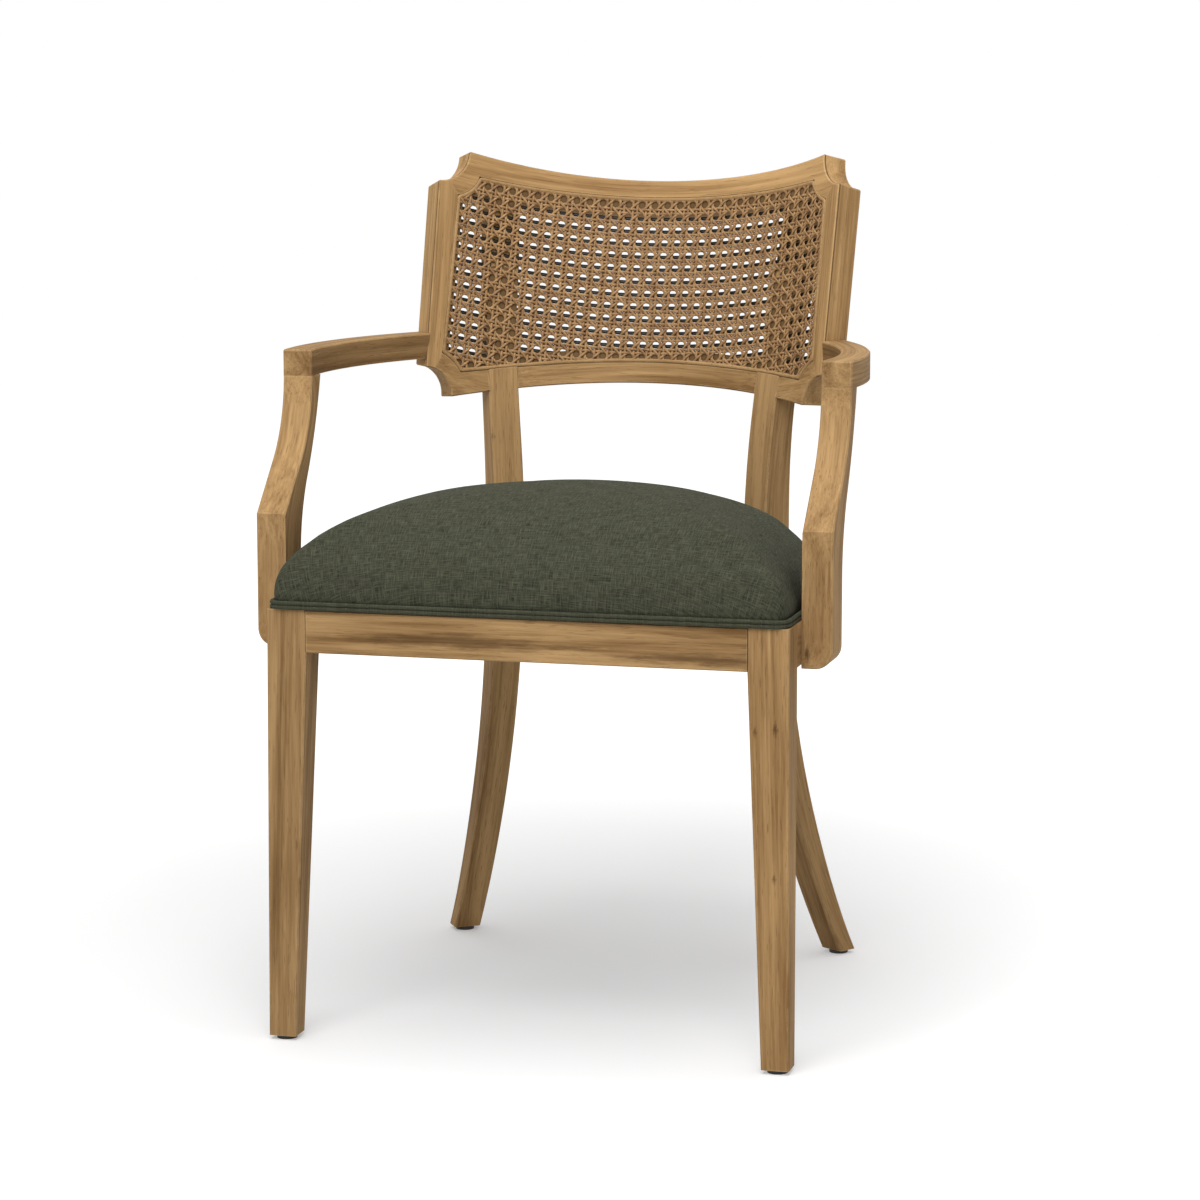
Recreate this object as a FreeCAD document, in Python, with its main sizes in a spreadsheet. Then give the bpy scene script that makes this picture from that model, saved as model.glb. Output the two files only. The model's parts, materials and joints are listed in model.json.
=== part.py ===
import FreeCAD, Part
import math
import os
import re
import Sketcher
from FreeCAD import Placement, Rotation, Vector

# Dining armchair with a curved cane back, sabre rear legs, bowed arms and an upholstered seat.
# Millimetres and degrees. Floor at z 0, +Z up, the front faces -Y, +X is the viewer's right.
# Depths named "..._y" are measured backwards from the front faces of the front legs.

SIZES = [
    ("front_face_y", -268.3, "front faces of the front legs, from the middle of the chair"),
    ("half_front", 245.5, "middle plane to the outer face of a front leg at the rails"),
    ("edge_ease", 1.3, "bevel of the eased edges of the woodwork"),
    ("fit_gap", 0.15, "clearance round a tenon, dowel or screw"),
    ("glide_height", 4, "thickness of a foot glide"),
    ("glide_radius", 9.5, "radius of a foot glide"),
    ("leg_top", 38, "front leg section at the rails"),
    ("leg_foot", 26, "front leg section at the foot"),
    ("leg_splay", 2.7, "sideways splay of a front leg at the foot"),
    ("rail_low", 368, "height of the rails' lower edges"),
    ("rail_height", 40, "height of a seat rail"),
    ("rail_thick", 22, "thickness of a seat rail"),
    ("tenon_length", 18, "length of a rail tenon"),
    ("tenon_thick", 10, "thickness of a rail tenon"),
    ("tenon_inset", 6, "rail edge to tenon edge, above and below"),
    ("side_straight_y", 110, "where the side rails begin to curve inwards"),
    ("side_radius", 495, "outer radius of a curved side rail"),
    ("rear_rail_y", 401, "front face of the rear rail"),
    ("rear_in", 119.5, "outer face of a front leg to the middle of a rear leg, sideways"),
    ("rear_x", "=half_front - rear_in", "rear leg, middle of the front face at its forward point"),
    ("rear_y", 391.3, "rear leg, front face at its forward point"),
    ("rear_turn", 425, "height of the rear leg's forward point"),
    ("rear_sweep", 101, "outward sweep of the rear leg between that point and the floor"),
    ("rear_azimuth", 44, "direction of the sweep, from straight back"),
    ("rear_twist", 33, "direction that a rear leg's section faces"),
    ("rear_width", 31, "rear leg width from the seat upwards"),
    ("rear_foot_width", 27.5, "rear leg width at the floor"),
    ("rear_depth", 36, "rear leg depth at the seat"),
    ("rear_foot_depth", 21, "rear leg depth at the floor"),
    ("rear_back_depth", 29.5, "rear leg depth in the back"),
    ("rear_waist_rise", 75, "height of the rear leg's waist above its forward point"),
    ("rear_neck_drop", 1.6, "where a rear leg joins the back, below its lower edge"),
    ("back_y", 477, "middle of the back's front face"),
    ("back_z", 681, "height of the middle of the back"),
    ("back_tilt", 19.7, "lean of the back"),
    ("back_radius", 265, "radius of the back's hollow face"),
    ("back_thick", 28.5, "thickness of the back frame"),
    ("back_top", 110.2, "upper edge of the back above its middle, at the centre"),
    ("top_radius", 2820, "radius of the slightly hollow upper edge"),
    ("arch_mid", 103.4, "lower edge of the back below its middle, at the centre"),
    ("arch_radius", 1461, "radius of the arched lower edge, cut level from front to rear"),
    ("arch_inner_radius", 490, "radius of the arched inner edge above it"),
    ("frame_face", 21.5, "visible width of the lower rail of the back, at the centre"),
    ("top_face", 17.7, "visible width of the top rail of the back, at the centre"),
    ("corner_angle", 40, "direction in which the corners are cut"),
    ("leg_angle_low", 30.5, "position of a rear leg at the lower edge of the back"),
    ("leg_angle_high", 35, "position of a rear leg at the top rail"),
    ("notch_radius", 36.7, "radius of an upper scooped corner"),
    ("notch_low_radius", 25.9, "radius of a lower scooped corner"),
    ("notch_top_start", 17.2, "upper corner, where the scoop begins"),
    ("notch_top_level", 78.2, "height of the upper shoulders"),
    ("notch_low_start", 11.6, "lower corner, where the scoop begins"),
    ("notch_low_level", -116.1, "height of the lower shoulders"),
    ("end_top", 49.2, "end of the back at the upper shoulder"),
    ("end_low", 42.8, "end of the back at the lower shoulder"),
    ("stile_inner", 26.5, "inner edge of an end stile's visible face"),
    ("scoop_band", 14.4, "visible width of the frame beside a scooped corner"),
    ("shoulder_top", 11.5, "visible width of the frame under an upper corner"),
    ("shoulder_low", 19.4, "visible width of the frame above a lower corner"),
    ("scoop_top_radius", 34.3, "inner edge of the frame at an upper corner, its radius"),
    ("scoop_low_radius", 39, "inner edge of the frame at a lower corner, its radius"),
    ("joint_top", 38.5, "joint of top rail and end stile on the scoop, across the corner"),
    ("joint_low", 34, "joint of lower rail and end stile on the scoop, across the corner"),
    ("mitre_reach", 20, "joint of rail and end stile, carried in behind the cane"),
    ("mitre_fall", 14, "fall of the upper joint over that reach"),
    ("mitre_rise", 8, "rise of the lower joint over that reach"),
    ("spline_width", 4.5, "width of the reed spline"),
    ("spline_proud", 0.8, "height of the spline above the frame"),
    ("spline_depth", 4, "depth of the spline groove"),
    ("cane_thick", 1.2, "thickness of the woven cane"),
    ("cane_pitch", 30.5, "spacing of the openings that stand for the weave"),
    ("cane_opening", 15, "width of such an opening"),
    ("cane_set", 0.5, "cane surface below the frame's face"),
    ("ledge_wide", 9.5, "ledge behind the cane, along the top and bottom rails"),
    ("ledge_narrow", 3, "ledge behind the cane, along the end stiles"),
    ("post_width", 28.5, "arm post thickness, side to side"),
    ("post_front_y", 54, "front face of an arm post"),
    ("post_depth", 44, "arm post depth at the seat"),
    ("post_low", 364, "lower end of an arm post"),
    ("post_round", 16, "rounded lower outer corner of an arm post"),
    ("knee_z", 489, "height of the arm post's knee"),
    ("knee_rise", 45, "straight rise, and setback, above the knee"),
    ("post_top_y", 133, "front face of a post under the arm"),
    ("post_top_depth", 26, "depth of a post under the arm"),
    ("post_bend_radius", 113, "hollow front curve of a post"),
    ("post_back_low", 440, "where the post's rear face starts to lean"),
    ("post_back_mid_y", 117.5, "rear face of the post at the change of its curve"),
    ("post_back_mid_z", 515, "height of that change"),
    ("post_back_r_low", 141, "rear curve of the post below the change"),
    ("post_back_r_high", 337, "rear curve of the post above the change"),
    ("arm_low", 611, "underside of an arm"),
    ("arm_thick", 25, "thickness of an arm"),
    ("arm_radius", 410, "outer radius of a bowed arm"),
    ("arm_tail_y", 22.6, "rear end of the arm before it is cut to the back, behind the stile's end"),
    ("arm_tail_out", -1.9, "outer edge of the arm there, outside the middle of the stile's end"),
    ("arm_tail_in", -34.3, "inner edge of the arm there, outside the middle of the stile's end"),
    ("dowel_radius", 3, "radius of a small dowel"),
    ("dowel_half", 18, "depth of a dowel in each piece"),
    ("arm_dowel_low", -95.5, "lower dowel between arm and back, from the middle of the back"),
    ("arm_dowel_high", -84, "upper dowel between arm and back"),
    ("rail_dowel_in", 13, "rail dowels behind the front face of a rear leg"),
    ("seat_gap", 0.5, "edge of the seat inside the outer faces of the front legs"),
    ("seat_half", "=half_front - seat_gap", "half width of the upholstered seat"),
    ("seat_over", 4, "seat edge in front of the front rail"),
    ("seat_corner", 14, "rounded front corners of the seat"),
    ("seat_rear_y", 414, "rear edge of the seat at the middle"),
    ("seat_sweep", 30, "angle through which the sides of the seat curve in"),
    ("deck_thick", 10, "thickness of the seat deck"),
    ("crown_height", 89, "height of the seat's crown above its edge"),
    ("cover_thick", 1.4, "thickness of the seat cover"),
    ("welt_radius", 2, "radius of each cord of the double welt"),
    ("block_height", 30, "height of a corner block"),
    ("block_end", 12, "narrow ends of a corner block"),
    ("block_front", 56, "length of a front corner block along the front rail"),
    ("block_side", 66, "rear end of a front corner block along the side rail, from the front"),
    ("screw_radius", 2, "radius of a wood screw"),
    ("screw_head", 4, "radius of a screw head"),
    ("screw_grip", 10, "length of a block screw in the rail"),
    ("screw_sink", 18, "length of the counterbore above a screw head"),
    ("nail_length", 12, "length of a glide nail"),
    ("bolt_radius", 3, "radius of an arm post bolt"),
    ("bolt_head", 6, "radius of a bolt head"),
    ("bolt_y", 82, "place of the arm post bolts"),
    ("dust_thick", 0.8, "thickness of the dust cover"),
    ("dust_margin", 6, "dust cover to the legs"),
    ("dust_lap", 8, "dust cover lapped on to a rail"),
]

doc = FreeCAD.newDocument("dining_armchair")
sheet = doc.addObject("Spreadsheet::Sheet", "sizes")
for row, (alias, value, note) in enumerate(SIZES, 1):
    sheet.set(f"A{row}", note)
    sheet.set(f"B{row}", str(value))
    sheet.setAlias(f"B{row}", alias)
doc.recompute()

ALIASES = re.compile(r"\b(" + "|".join(alias for alias, value, note in SIZES) + r")\b")
FRONT = "front_face_y"
RAIL_TOP = "rail_low + rail_height"
PAIR_SHARES = (0.28, 0.72)  # places of two fasteners across a member
nodes = []


def size(expression):
    """Number that an expression over the sheet's names gives."""
    return float(sheet.evalExpression(str(expression)))


def bind(thing, **expressions):
    """Bind properties to the sheet; a double underscore in a name stands for a dot."""
    for name, expression in expressions.items():
        thing.setExpression(name.replace("__", "."), ALIASES.sub(r"sizes.\1", str(expression)))


def node(thing, label):
    """Mark a finished sub-part."""
    thing.Label = label
    nodes.append(thing)
    return thing


def box(name, x, y, z, length, width, height):
    solid = doc.addObject("Part::Box", name)
    bind(solid, Length=length, Width=width, Height=height)
    bind(solid, Placement__Base__x=x, Placement__Base__y=y, Placement__Base__z=z)
    return solid


TURNS = {
    "x": Rotation(Vector(0, 1, 0), 90),
    "-x": Rotation(Vector(0, 1, 0), -90),
    "y": Rotation(Vector(1, 0, 0), -90),
    "-y": Rotation(Vector(1, 0, 0), 90),
    "z": Rotation(),
}


def rod(name, x, y, z, radius, length, along="z"):
    solid = doc.addObject("Part::Cylinder", name)
    solid.Placement = Placement(Vector(), TURNS[along])
    bind(solid, Radius=radius, Height=length)
    bind(solid, Placement__Base__x=x, Placement__Base__y=y, Placement__Base__z=z)
    return solid


def cut(name, base, tools):
    """Cut one or more tools from a solid."""
    tool = tools[0]
    if len(tools) > 1:
        tool = doc.addObject("Part::MultiFuse", name + "_tools")
        tool.Shapes = tools
    result = doc.addObject("Part::Cut", name)
    result.Base = base
    result.Tool = tool
    return result


def fuse(name, solids):
    result = doc.addObject("Part::MultiFuse", name)
    result.Shapes = solids
    return result


def group(label, solids):
    """Loose solids of one kind as one sub-part."""
    result = doc.addObject("Part::Compound", label)
    result.Links = solids
    return node(result, label)


def mirror(name, source):
    """Copy of a right-hand piece for the left-hand side."""
    result = doc.addObject("Part::Mirroring", name)
    result.Source = source
    result.Normal = Vector(1, 0, 0)
    return result


def pair(stem, solid):
    """Right-hand piece and its mirrored left-hand twin as two sub-parts."""
    node(solid, stem + "_right")
    return node(mirror(stem + "_mirrored", solid), stem + "_left")


def with_twins(things):
    """Right-hand pieces together with their mirrored twins."""
    return things + [mirror(thing.Name + "_twin", thing) for thing in things]


def built(name, shape, placement=None):
    """Document object for a shape that the curved back or the soft seat needs."""
    thing = doc.addObject("Part::Feature", name)
    thing.Shape = shape
    if placement is not None:
        thing.Placement = placement * shape.Placement
    return thing


def dowel(name, middle, direction, half, placement=None):
    """Dowel, and its slightly wider hole, centred on a point."""
    axis = Vector(direction).normalize()
    pieces = []
    for kind, spare in (("", 0), ("_hole", size("fit_gap"))):
        reach = half + spare
        solid = Part.makeCylinder(size("dowel_radius") + spare, 2 * reach, middle - axis * reach, axis)
        pieces.append(built(name + kind, solid, placement))
    return pieces


def arc_between(start, finish, radius, turn):
    """Minor arc between two points; turn is 1 for anticlockwise, -1 for clockwise."""
    chord = finish - start
    left = Vector(-chord.y, chord.x, 0).normalize()
    rise = math.sqrt(max(radius ** 2 - (chord.Length / 2) ** 2, 0))
    centre = (start + finish) * 0.5 + left * (rise * turn)
    ends = [math.atan2(p.y - centre.y, p.x - centre.x) for p in (start, finish)]
    if turn < 0:
        ends.reverse()
    return Part.ArcOfCircle(Part.Circle(centre, Vector(0, 0, 1), radius), ends[0], ends[1])


def sketch_in(body, name, role, path):
    """Closed outline. Each corner is (x, y), or (x, y, radius, turn) when an arc leads to it."""
    sketch = body.newObject("Sketcher::SketchObject", name)
    plane = [part for part in body.Origin.OriginFeatures if part.Role == role][0]
    sketch.AttachmentSupport = [(plane, "")]
    sketch.MapMode = "FlatFace"
    corners = [Vector(size(step[0]), size(step[1]), 0) for step in path]
    ends = []
    for index, step in enumerate(path):
        if len(step) == 2:
            sketch.addGeometry(Part.LineSegment(corners[index - 1], corners[index]))
            ends.append((1, 2))
        else:
            sketch.addGeometry(arc_between(corners[index - 1], corners[index], size(step[2]), step[3]))
            ends.append((1, 2) if step[3] > 0 else (2, 1))
    for index, step in enumerate(path):
        after = (index + 1) % len(path)
        last = ends[index][1]
        sketch.addConstraint(Sketcher.Constraint("Coincident", index, last, after, ends[after][0]))
        for kind, place in (("DistanceX", corners[index].x), ("DistanceY", corners[index].y)):
            number = sketch.addConstraint(Sketcher.Constraint(kind, -1, 1, index, last, place))
            expression = step[0] if kind == "DistanceX" else step[1]
            bind(sketch, **{f"Constraints[{number}]": expression})
        if len(step) > 2:
            number = sketch.addConstraint(Sketcher.Constraint("Radius", index, size(step[2])))
            bind(sketch, **{f"Constraints[{number}]": step[2]})
    return sketch


def eased_rectangle(x_low, x_high, y_low, y_high):
    """Path of a rectangle with small bevelled corners."""
    return [
        (f"{x_high} - edge_ease", y_low),
        (x_high, f"{y_low} + edge_ease"),
        (x_high, f"{y_high} - edge_ease"),
        (f"{x_high} - edge_ease", y_high),
        (f"{x_low} + edge_ease", y_high),
        (x_low, f"{y_high} - edge_ease"),
        (x_low, f"{y_low} + edge_ease"),
        (f"{x_low} + edge_ease", y_low),
    ]


def pad(body, sketch, length):
    feature = body.newObject("PartDesign::Pad", sketch.Name + "_pad")
    feature.Profile = sketch
    bind(feature, Length=length)
    return feature


def padded_body(name, role, lift, path, length):
    """Body padded from one outline, which is lifted off its plane along the plane's normal."""
    body = doc.addObject("PartDesign::Body", name)
    sketch = sketch_in(body, name + "_outline", role, path)
    bind(sketch, AttachmentOffset__Base__z=lift)
    pad(body, sketch, length)
    return body


def treat_edges(body, kind, wanted, **amount):
    """Fillet or chamfer the edges of a body's tip that a test picks."""
    doc.recompute()
    tip = body.Tip
    names = [f"Edge{i}" for i, edge in enumerate(tip.Shape.Edges, 1) if wanted(edge)]
    feature = body.newObject("PartDesign::" + kind, f"{body.Name}_{kind.lower()}")
    feature.Base = (tip, names)
    bind(feature, **amount)


def lofted_body(name, sections):
    """Body lofted through (path, placement) sections."""
    body = doc.addObject("PartDesign::Body", name)
    sketches = []
    for number, (path, placement) in enumerate(sections):
        sketch = sketch_in(body, f"{name}_section_{number}", "XY_Plane", path)
        sketch.AttachmentOffset = placement
        sketches.append(sketch)
    loft = body.newObject("PartDesign::AdditiveLoft", name + "_loft")
    loft.Profile = sketches[0]
    loft.Sections = sketches[1:]
    loft.Ruled = len(sketches) == 2
    return body, sketches


# Front legs and the straight rails

leg_inner = "half_front - leg_top"
foot_outer = "half_front + leg_splay"
leg_body, leg_sketches = lofted_body("front_leg", [
    (eased_rectangle(f"{foot_outer} - leg_foot", foot_outer, FRONT, f"{FRONT} + leg_foot"), Placement()),
    (eased_rectangle(leg_inner, "half_front", FRONT, f"{FRONT} + leg_top"), Placement()),
])
bind(leg_sketches[0], AttachmentOffset__Base__z="glide_height")
bind(leg_sketches[1], AttachmentOffset__Base__z="rail_low")
leg_head = sketch_in(leg_body, "front_leg_head", "XY_Plane",
                     eased_rectangle(leg_inner, "half_front", FRONT, f"{FRONT} + leg_top"))
bind(leg_head, AttachmentOffset__Base__z="rail_low")
pad(leg_body, leg_head, "rail_height")

tenon_height = "rail_height - 2 * tenon_inset"
rail_tenon_y = f"{FRONT} + tenon_inset"
side_tenon_x = "half_front - tenon_inset - tenon_thick"
front_mortise = box("front_mortise", leg_inner, f"{rail_tenon_y} - fit_gap",
                    "rail_low + tenon_inset - fit_gap", "tenon_length + fit_gap",
                    "tenon_thick + 2 * fit_gap", f"{tenon_height} + 2 * fit_gap")
side_mortise = box("side_mortise", f"{side_tenon_x} - fit_gap",
                   f"{FRONT} + leg_top - tenon_length - fit_gap", "rail_low + tenon_inset - fit_gap",
                   "tenon_thick + 2 * fit_gap", "tenon_length + fit_gap", f"{tenon_height} + 2 * fit_gap")
front_foot_x = f"{foot_outer} - leg_foot / 2"
front_foot_y = f"{FRONT} + leg_foot / 2"
front_nail_hole = rod("front_nail_hole", front_foot_x, front_foot_y, "glide_height",
                      "screw_radius / 2 + fit_gap", "nail_length + fit_gap")
pair("front_leg", cut("front_leg_cut", leg_body, [front_mortise, side_mortise, front_nail_hole]))

front_bar = padded_body("front_bar", "YZ_Plane", f"-({leg_inner})",
                        eased_rectangle(FRONT, f"{FRONT} + rail_thick", "rail_low", RAIL_TOP),
                        f"2 * ({leg_inner})")
front_tenons = box("front_tenons", f"-({leg_inner} + tenon_length)", rail_tenon_y, "rail_low + tenon_inset",
                   f"2 * ({leg_inner} + tenon_length)", "tenon_thick", tenon_height)
front_rail = fuse("front_rail_whole", [front_bar, front_tenons])

# Rear legs: sabre-shaped, running up through the back


def along(azimuth):
    """Level unit vector at an angle from straight back, to the right."""
    return Vector(math.sin(math.radians(azimuth)), math.cos(math.radians(azimuth)), 0)


def sabre_placement(height):
    """Section plane of a rear leg: swept out as the square of the distance from the turning height."""
    part = (size("rear_turn") - height) / size("rear_turn")
    sweep = size("rear_sweep") * part ** 2
    place = Vector(size("rear_x"), size(FRONT) + size("rear_y"), height) + along(size("rear_azimuth")) * sweep
    return Placement(place, Rotation(Vector(0, 0, 1), -size("rear_twist")))


def back_frame():
    """Frame of the leaning back: its origin lies on the axis of the hollow face."""
    lean = Rotation(Vector(1, 0, 0), -size("back_tilt"))
    middle = Placement(Vector(0, size(FRONT) + size("back_y"), size("back_z")), lean)
    return middle * Placement(Vector(0, -size("back_radius"), 0), Rotation())


def back_placement(angle, level):
    """Section plane of a rear leg in the back, with its front corners on the hollow face."""
    turned = Placement(Vector(), Rotation(Vector(0, 0, 1), -angle))
    depth = math.sqrt(size("back_radius") ** 2 - size("rear_width / 2") ** 2)
    return back_frame() * turned * Placement(Vector(0, depth, level), Rotation())


def arch_level(angle):
    """Height of the lower edge on the hollow face, at an angle round it; the cut is level."""
    turn = math.radians(angle)
    tilt = math.radians(size("back_tilt"))
    across = size("back_radius") * math.sin(turn)
    nearer = size("back_radius") * (1 - math.cos(turn))
    fall = size("arch_radius") - math.sqrt(size("arch_radius") ** 2 - across ** 2)
    return -size("arch_mid") - fall / math.cos(tilt) - nearer * math.tan(tilt)


def leg_path(width, depth):
    return eased_rectangle(f"-({width}) / 2", f"({width}) / 2", "0", depth)


def tapered(foot, seat, share):
    return f"{foot} + ({seat} - {foot}) * {share}"


ledge_top = "back_top - top_face - spline_width - ledge_wide"
sections = []
for share in (0, 0.25, 0.5, 0.75, 1):
    height = size(f"glide_height + ({RAIL_TOP} - glide_height) * {share}")
    path = leg_path(tapered("rear_foot_width", "rear_width", share),
                    tapered("rear_foot_depth", "rear_depth", share))
    sections.append((path, sabre_placement(height)))
middle_depth = "(rear_depth + rear_back_depth) / 2"
waist = sabre_placement(size("rear_turn + rear_waist_rise"))
sections.append((leg_path("rear_width", middle_depth), waist))
low_level = arch_level(size("leg_angle_low")) - size("rear_neck_drop")
high_level = size(ledge_top)
for share in (0, 0.5, 1):
    angle = size(f"leg_angle_low + (leg_angle_high - leg_angle_low) * {share}")
    level = low_level + (high_level - low_level) * share
    sections.append((leg_path("rear_width", "rear_back_depth"), back_placement(angle, level)))
sabre_body = lofted_body("rear_leg", sections)[0]

# The back: a hollow plate with scooped corners and an arched lower edge, divided into its members

REACH = 400  # beyond every member of the back
NEAR = 40  # in front of the hollow face, inside the drum


def ring(inner, outer):
    """Upright hollow drum round the axis of the back, tall enough for every member."""
    drum = Part.makeCylinder(outer, 2 * REACH, Vector(0, 0, -REACH))
    return drum.cut(Part.makeCylinder(inner, 2 * REACH, Vector(0, 0, -REACH)))


def corner_side(solid, side):
    """Turn a solid drawn in the corner's frame into its place on the right or left of the back."""
    placed = solid.copy()
    placed.rotate(Vector(), Vector(0, 0, 1), -size("corner_angle"))
    return placed if side > 0 else placed.mirror(Vector(), Vector(1, 0, 0))


def corner_box(across, level_low, level_high):
    """Block beyond a distance across the corner, between two levels."""
    return Part.makeBox(REACH, REACH, level_high - level_low, Vector(across, 0, level_low))


def corner_drum(across, level, radius, rise=0.0):
    """Drum through the corner, with its centre on the hollow face and a rise to the rear."""
    depth = math.sqrt(size("back_radius") ** 2 - across ** 2)
    start = Vector(across, 0, level - rise * depth)
    return Part.makeCylinder(radius, 2 * REACH, start, Vector(0, 1, rise))


def corner_prism(points):
    wire = Part.makePolygon([Vector(across, 0, level) for across, level in points + points[:1]])
    solid = Part.Face(wire).extrude(Vector(0, REACH, 0))
    if solid.Volume < 0:
        solid.reverse()
    return solid


def cross_drum(radius, level, direction):
    """Drum from front to rear below the back, whose top passes a level of the hollow face's middle."""
    axis = Vector(direction).normalize()
    downwards = axis.cross(Vector(1, 0, 0))
    middle = Vector(0, size("back_radius"), level) + downwards * radius
    return Part.makeCylinder(radius, 4 * REACH, middle - axis * (2 * REACH), axis)


def one(shape):
    """The single solid that a cut leaves."""
    if len(shape.Solids) != 1:
        raise RuntimeError(f"{len(shape.Solids)} solids where one was expected")
    return shape.Solids[0]


tilt_tangent = math.tan(math.radians(size("back_tilt")))
level_rearwards = Vector(0, 1, tilt_tangent)
corner_rise = tilt_tangent * math.cos(math.radians(size("corner_angle")))
scoop_top = (size("notch_top_start + notch_radius"), size("notch_top_level + notch_radius"),
             size("notch_radius"))
scoop_low = (size("notch_low_start + notch_low_radius"), size("notch_low_level - notch_low_radius"),
             size("notch_low_radius"))
inner_top = (size("notch_top_start - scoop_band + scoop_top_radius"),
             size("notch_top_level - shoulder_top + scoop_top_radius"), size("scoop_top_radius"))
inner_low = (size("notch_low_start - scoop_band + scoop_low_radius"),
             size("notch_low_level + shoulder_low - scoop_low_radius"), size("scoop_low_radius"))


def end_edge(level):
    """Distance across the corner at which the back ends, at a level."""
    slope = size("(end_top - end_low) / (notch_top_level - notch_low_level)")
    return size("end_low") + slope * (level - size("notch_low_level"))


def above_top(level):
    """Everything above the hollow upper edge."""
    radius = size("top_radius")
    return Part.makeCylinder(radius, 2 * REACH, Vector(0, -REACH, level + radius), Vector(0, 1, 0))


def plate_region():
    """Everything inside the outer outline of the back."""
    region = Part.makeBox(2 * REACH, REACH, 2 * REACH, Vector(-REACH, 0, -REACH))
    region = region.cut(cross_drum(size("arch_radius"), -size("arch_mid"), level_rearwards))
    region = region.cut(above_top(size("back_top")))
    end_points = [(end_edge(-REACH), -REACH), (REACH, -REACH), (REACH, REACH), (end_edge(REACH), REACH)]
    outside = [
        corner_prism(end_points),
        corner_drum(*scoop_top),
        corner_drum(*scoop_low, corner_rise),
    ]
    for side in (1, -1):
        for solid in outside:
            region = region.cut(corner_side(solid, side))
    return region


def inner_region(inset_level, inset_side):
    """Everything inside the visible face of the frame, drawn in by two insets."""
    top = size("back_top - top_face") - inset_level
    region = Part.makeBox(2 * REACH, REACH, REACH + top, Vector(-REACH, 0, -REACH))
    low_radius = size("arch_inner_radius")
    low_centre = Vector(0, -REACH, size("frame_face - arch_mid") - low_radius)
    region = region.cut(Part.makeCylinder(low_radius + inset_level, 2 * REACH, low_centre, Vector(0, 1, 0)))
    outside = [corner_box(size("stile_inner") - inset_side, -REACH, REACH)]
    for across, level, radius in (inner_top, inner_low):
        outside.append(corner_drum(across, level, radius + inset_side))
    for side in (1, -1):
        for solid in outside:
            region = region.cut(corner_side(solid, side))
    return region


face_radius = size("back_radius")
plate = one(ring(face_radius, size("back_radius + back_thick")).common(plate_region()))
plate = one(plate.makeChamfer(size("edge_ease"), plate.Edges))

spline_inset = size("spline_width")
face_region = inner_region(0, 0)
cane_region = inner_region(spline_inset, spline_inset)
ledge_region = inner_region(size("spline_width + ledge_wide"), size("spline_width + ledge_narrow"))
groove_ring = ring(face_radius - NEAR, size("back_radius + spline_depth"))
groove = face_region.cut(cane_region).common(groove_ring)
cane_back = size("back_radius + cane_set + cane_thick")
cane_room = cane_region.common(ring(face_radius - NEAR, cane_back))
frame = one(plate.cut(ledge_region).cut(groove).cut(cane_room))


def on_edge(corner, across, side):
    """Level at which a corner's round edge stands at a place across it, below or above its centre."""
    middle, level, radius = corner
    return level + side * math.sqrt(radius ** 2 - (middle - across) ** 2)


joint_top, joint_low, inner_edge = size("joint_top"), size("joint_low"), size("stile_inner")
joint_top_level = on_edge(scoop_top, joint_top, -1)
joint_low_level = on_edge(scoop_low, joint_low, 1)
band_top = on_edge(inner_top, inner_edge, -1)
band_low = on_edge(inner_low, inner_edge, 1)
stile_points = [
    (joint_top, joint_top_level),
    (joint_top, scoop_top[1]),
    (REACH, scoop_top[1]),
    (REACH, scoop_low[1]),
    (joint_low, scoop_low[1]),
    (joint_low, joint_low_level),
    (inner_edge, band_low),
    (inner_edge - size("mitre_reach"), band_low + size("mitre_rise")),
    (inner_edge - size("mitre_reach"), band_top - size("mitre_fall")),
    (inner_edge, band_top),
]
stile_zone = [corner_side(corner_prism(stile_points), side) for side in (1, -1)]
rails = frame.cut(stile_zone[0]).cut(stile_zone[1])
upper_half = Part.makeBox(2 * REACH, REACH, REACH, Vector(-REACH, 0, 0))
top_rail = one(rails.common(upper_half))
lower_rail = one(rails.cut(upper_half))


def leg_wedge(side):
    """Sector of the back outside the middle line of a rear leg."""
    reach = along(size("leg_angle_low + 0.5")) * (2 * REACH)
    points = [Vector(), reach, Vector(2 * REACH, 0, 0), Vector()]
    wedge = Part.Face(Part.makePolygon(points)).extrude(Vector(0, 0, 2 * REACH))
    wedge.translate(Vector(0, 0, -REACH))
    return wedge if side > 0 else wedge.mirror(Vector(), Vector(1, 0, 0))


place = back_frame()
cane_clearance = built("cane_clearance", cane_room, place)
spline_groove = built("spline_groove", groove, place)
top_rail_blank = built("top_rail_blank", top_rail, place)
stile_blank = built("end_stile_blank", one(frame.common(stile_zone[0])), place)
lower_middle = one(one(lower_rail.cut(leg_wedge(1))).cut(leg_wedge(-1)))
lower_centre = built("lower_centre_blank", lower_middle, place)
lower_end = built("lower_end_blank", one(lower_rail.common(leg_wedge(1))), place)

spline_ring = ring(face_radius - size("spline_proud"), size("back_radius + spline_depth"))
reed = face_region.cut(cane_region).common(spline_ring)
node(built("cane_spline", reed, place), "cane_spline")
cane_ring = ring(face_radius + size("cane_set"), cane_back)


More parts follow.
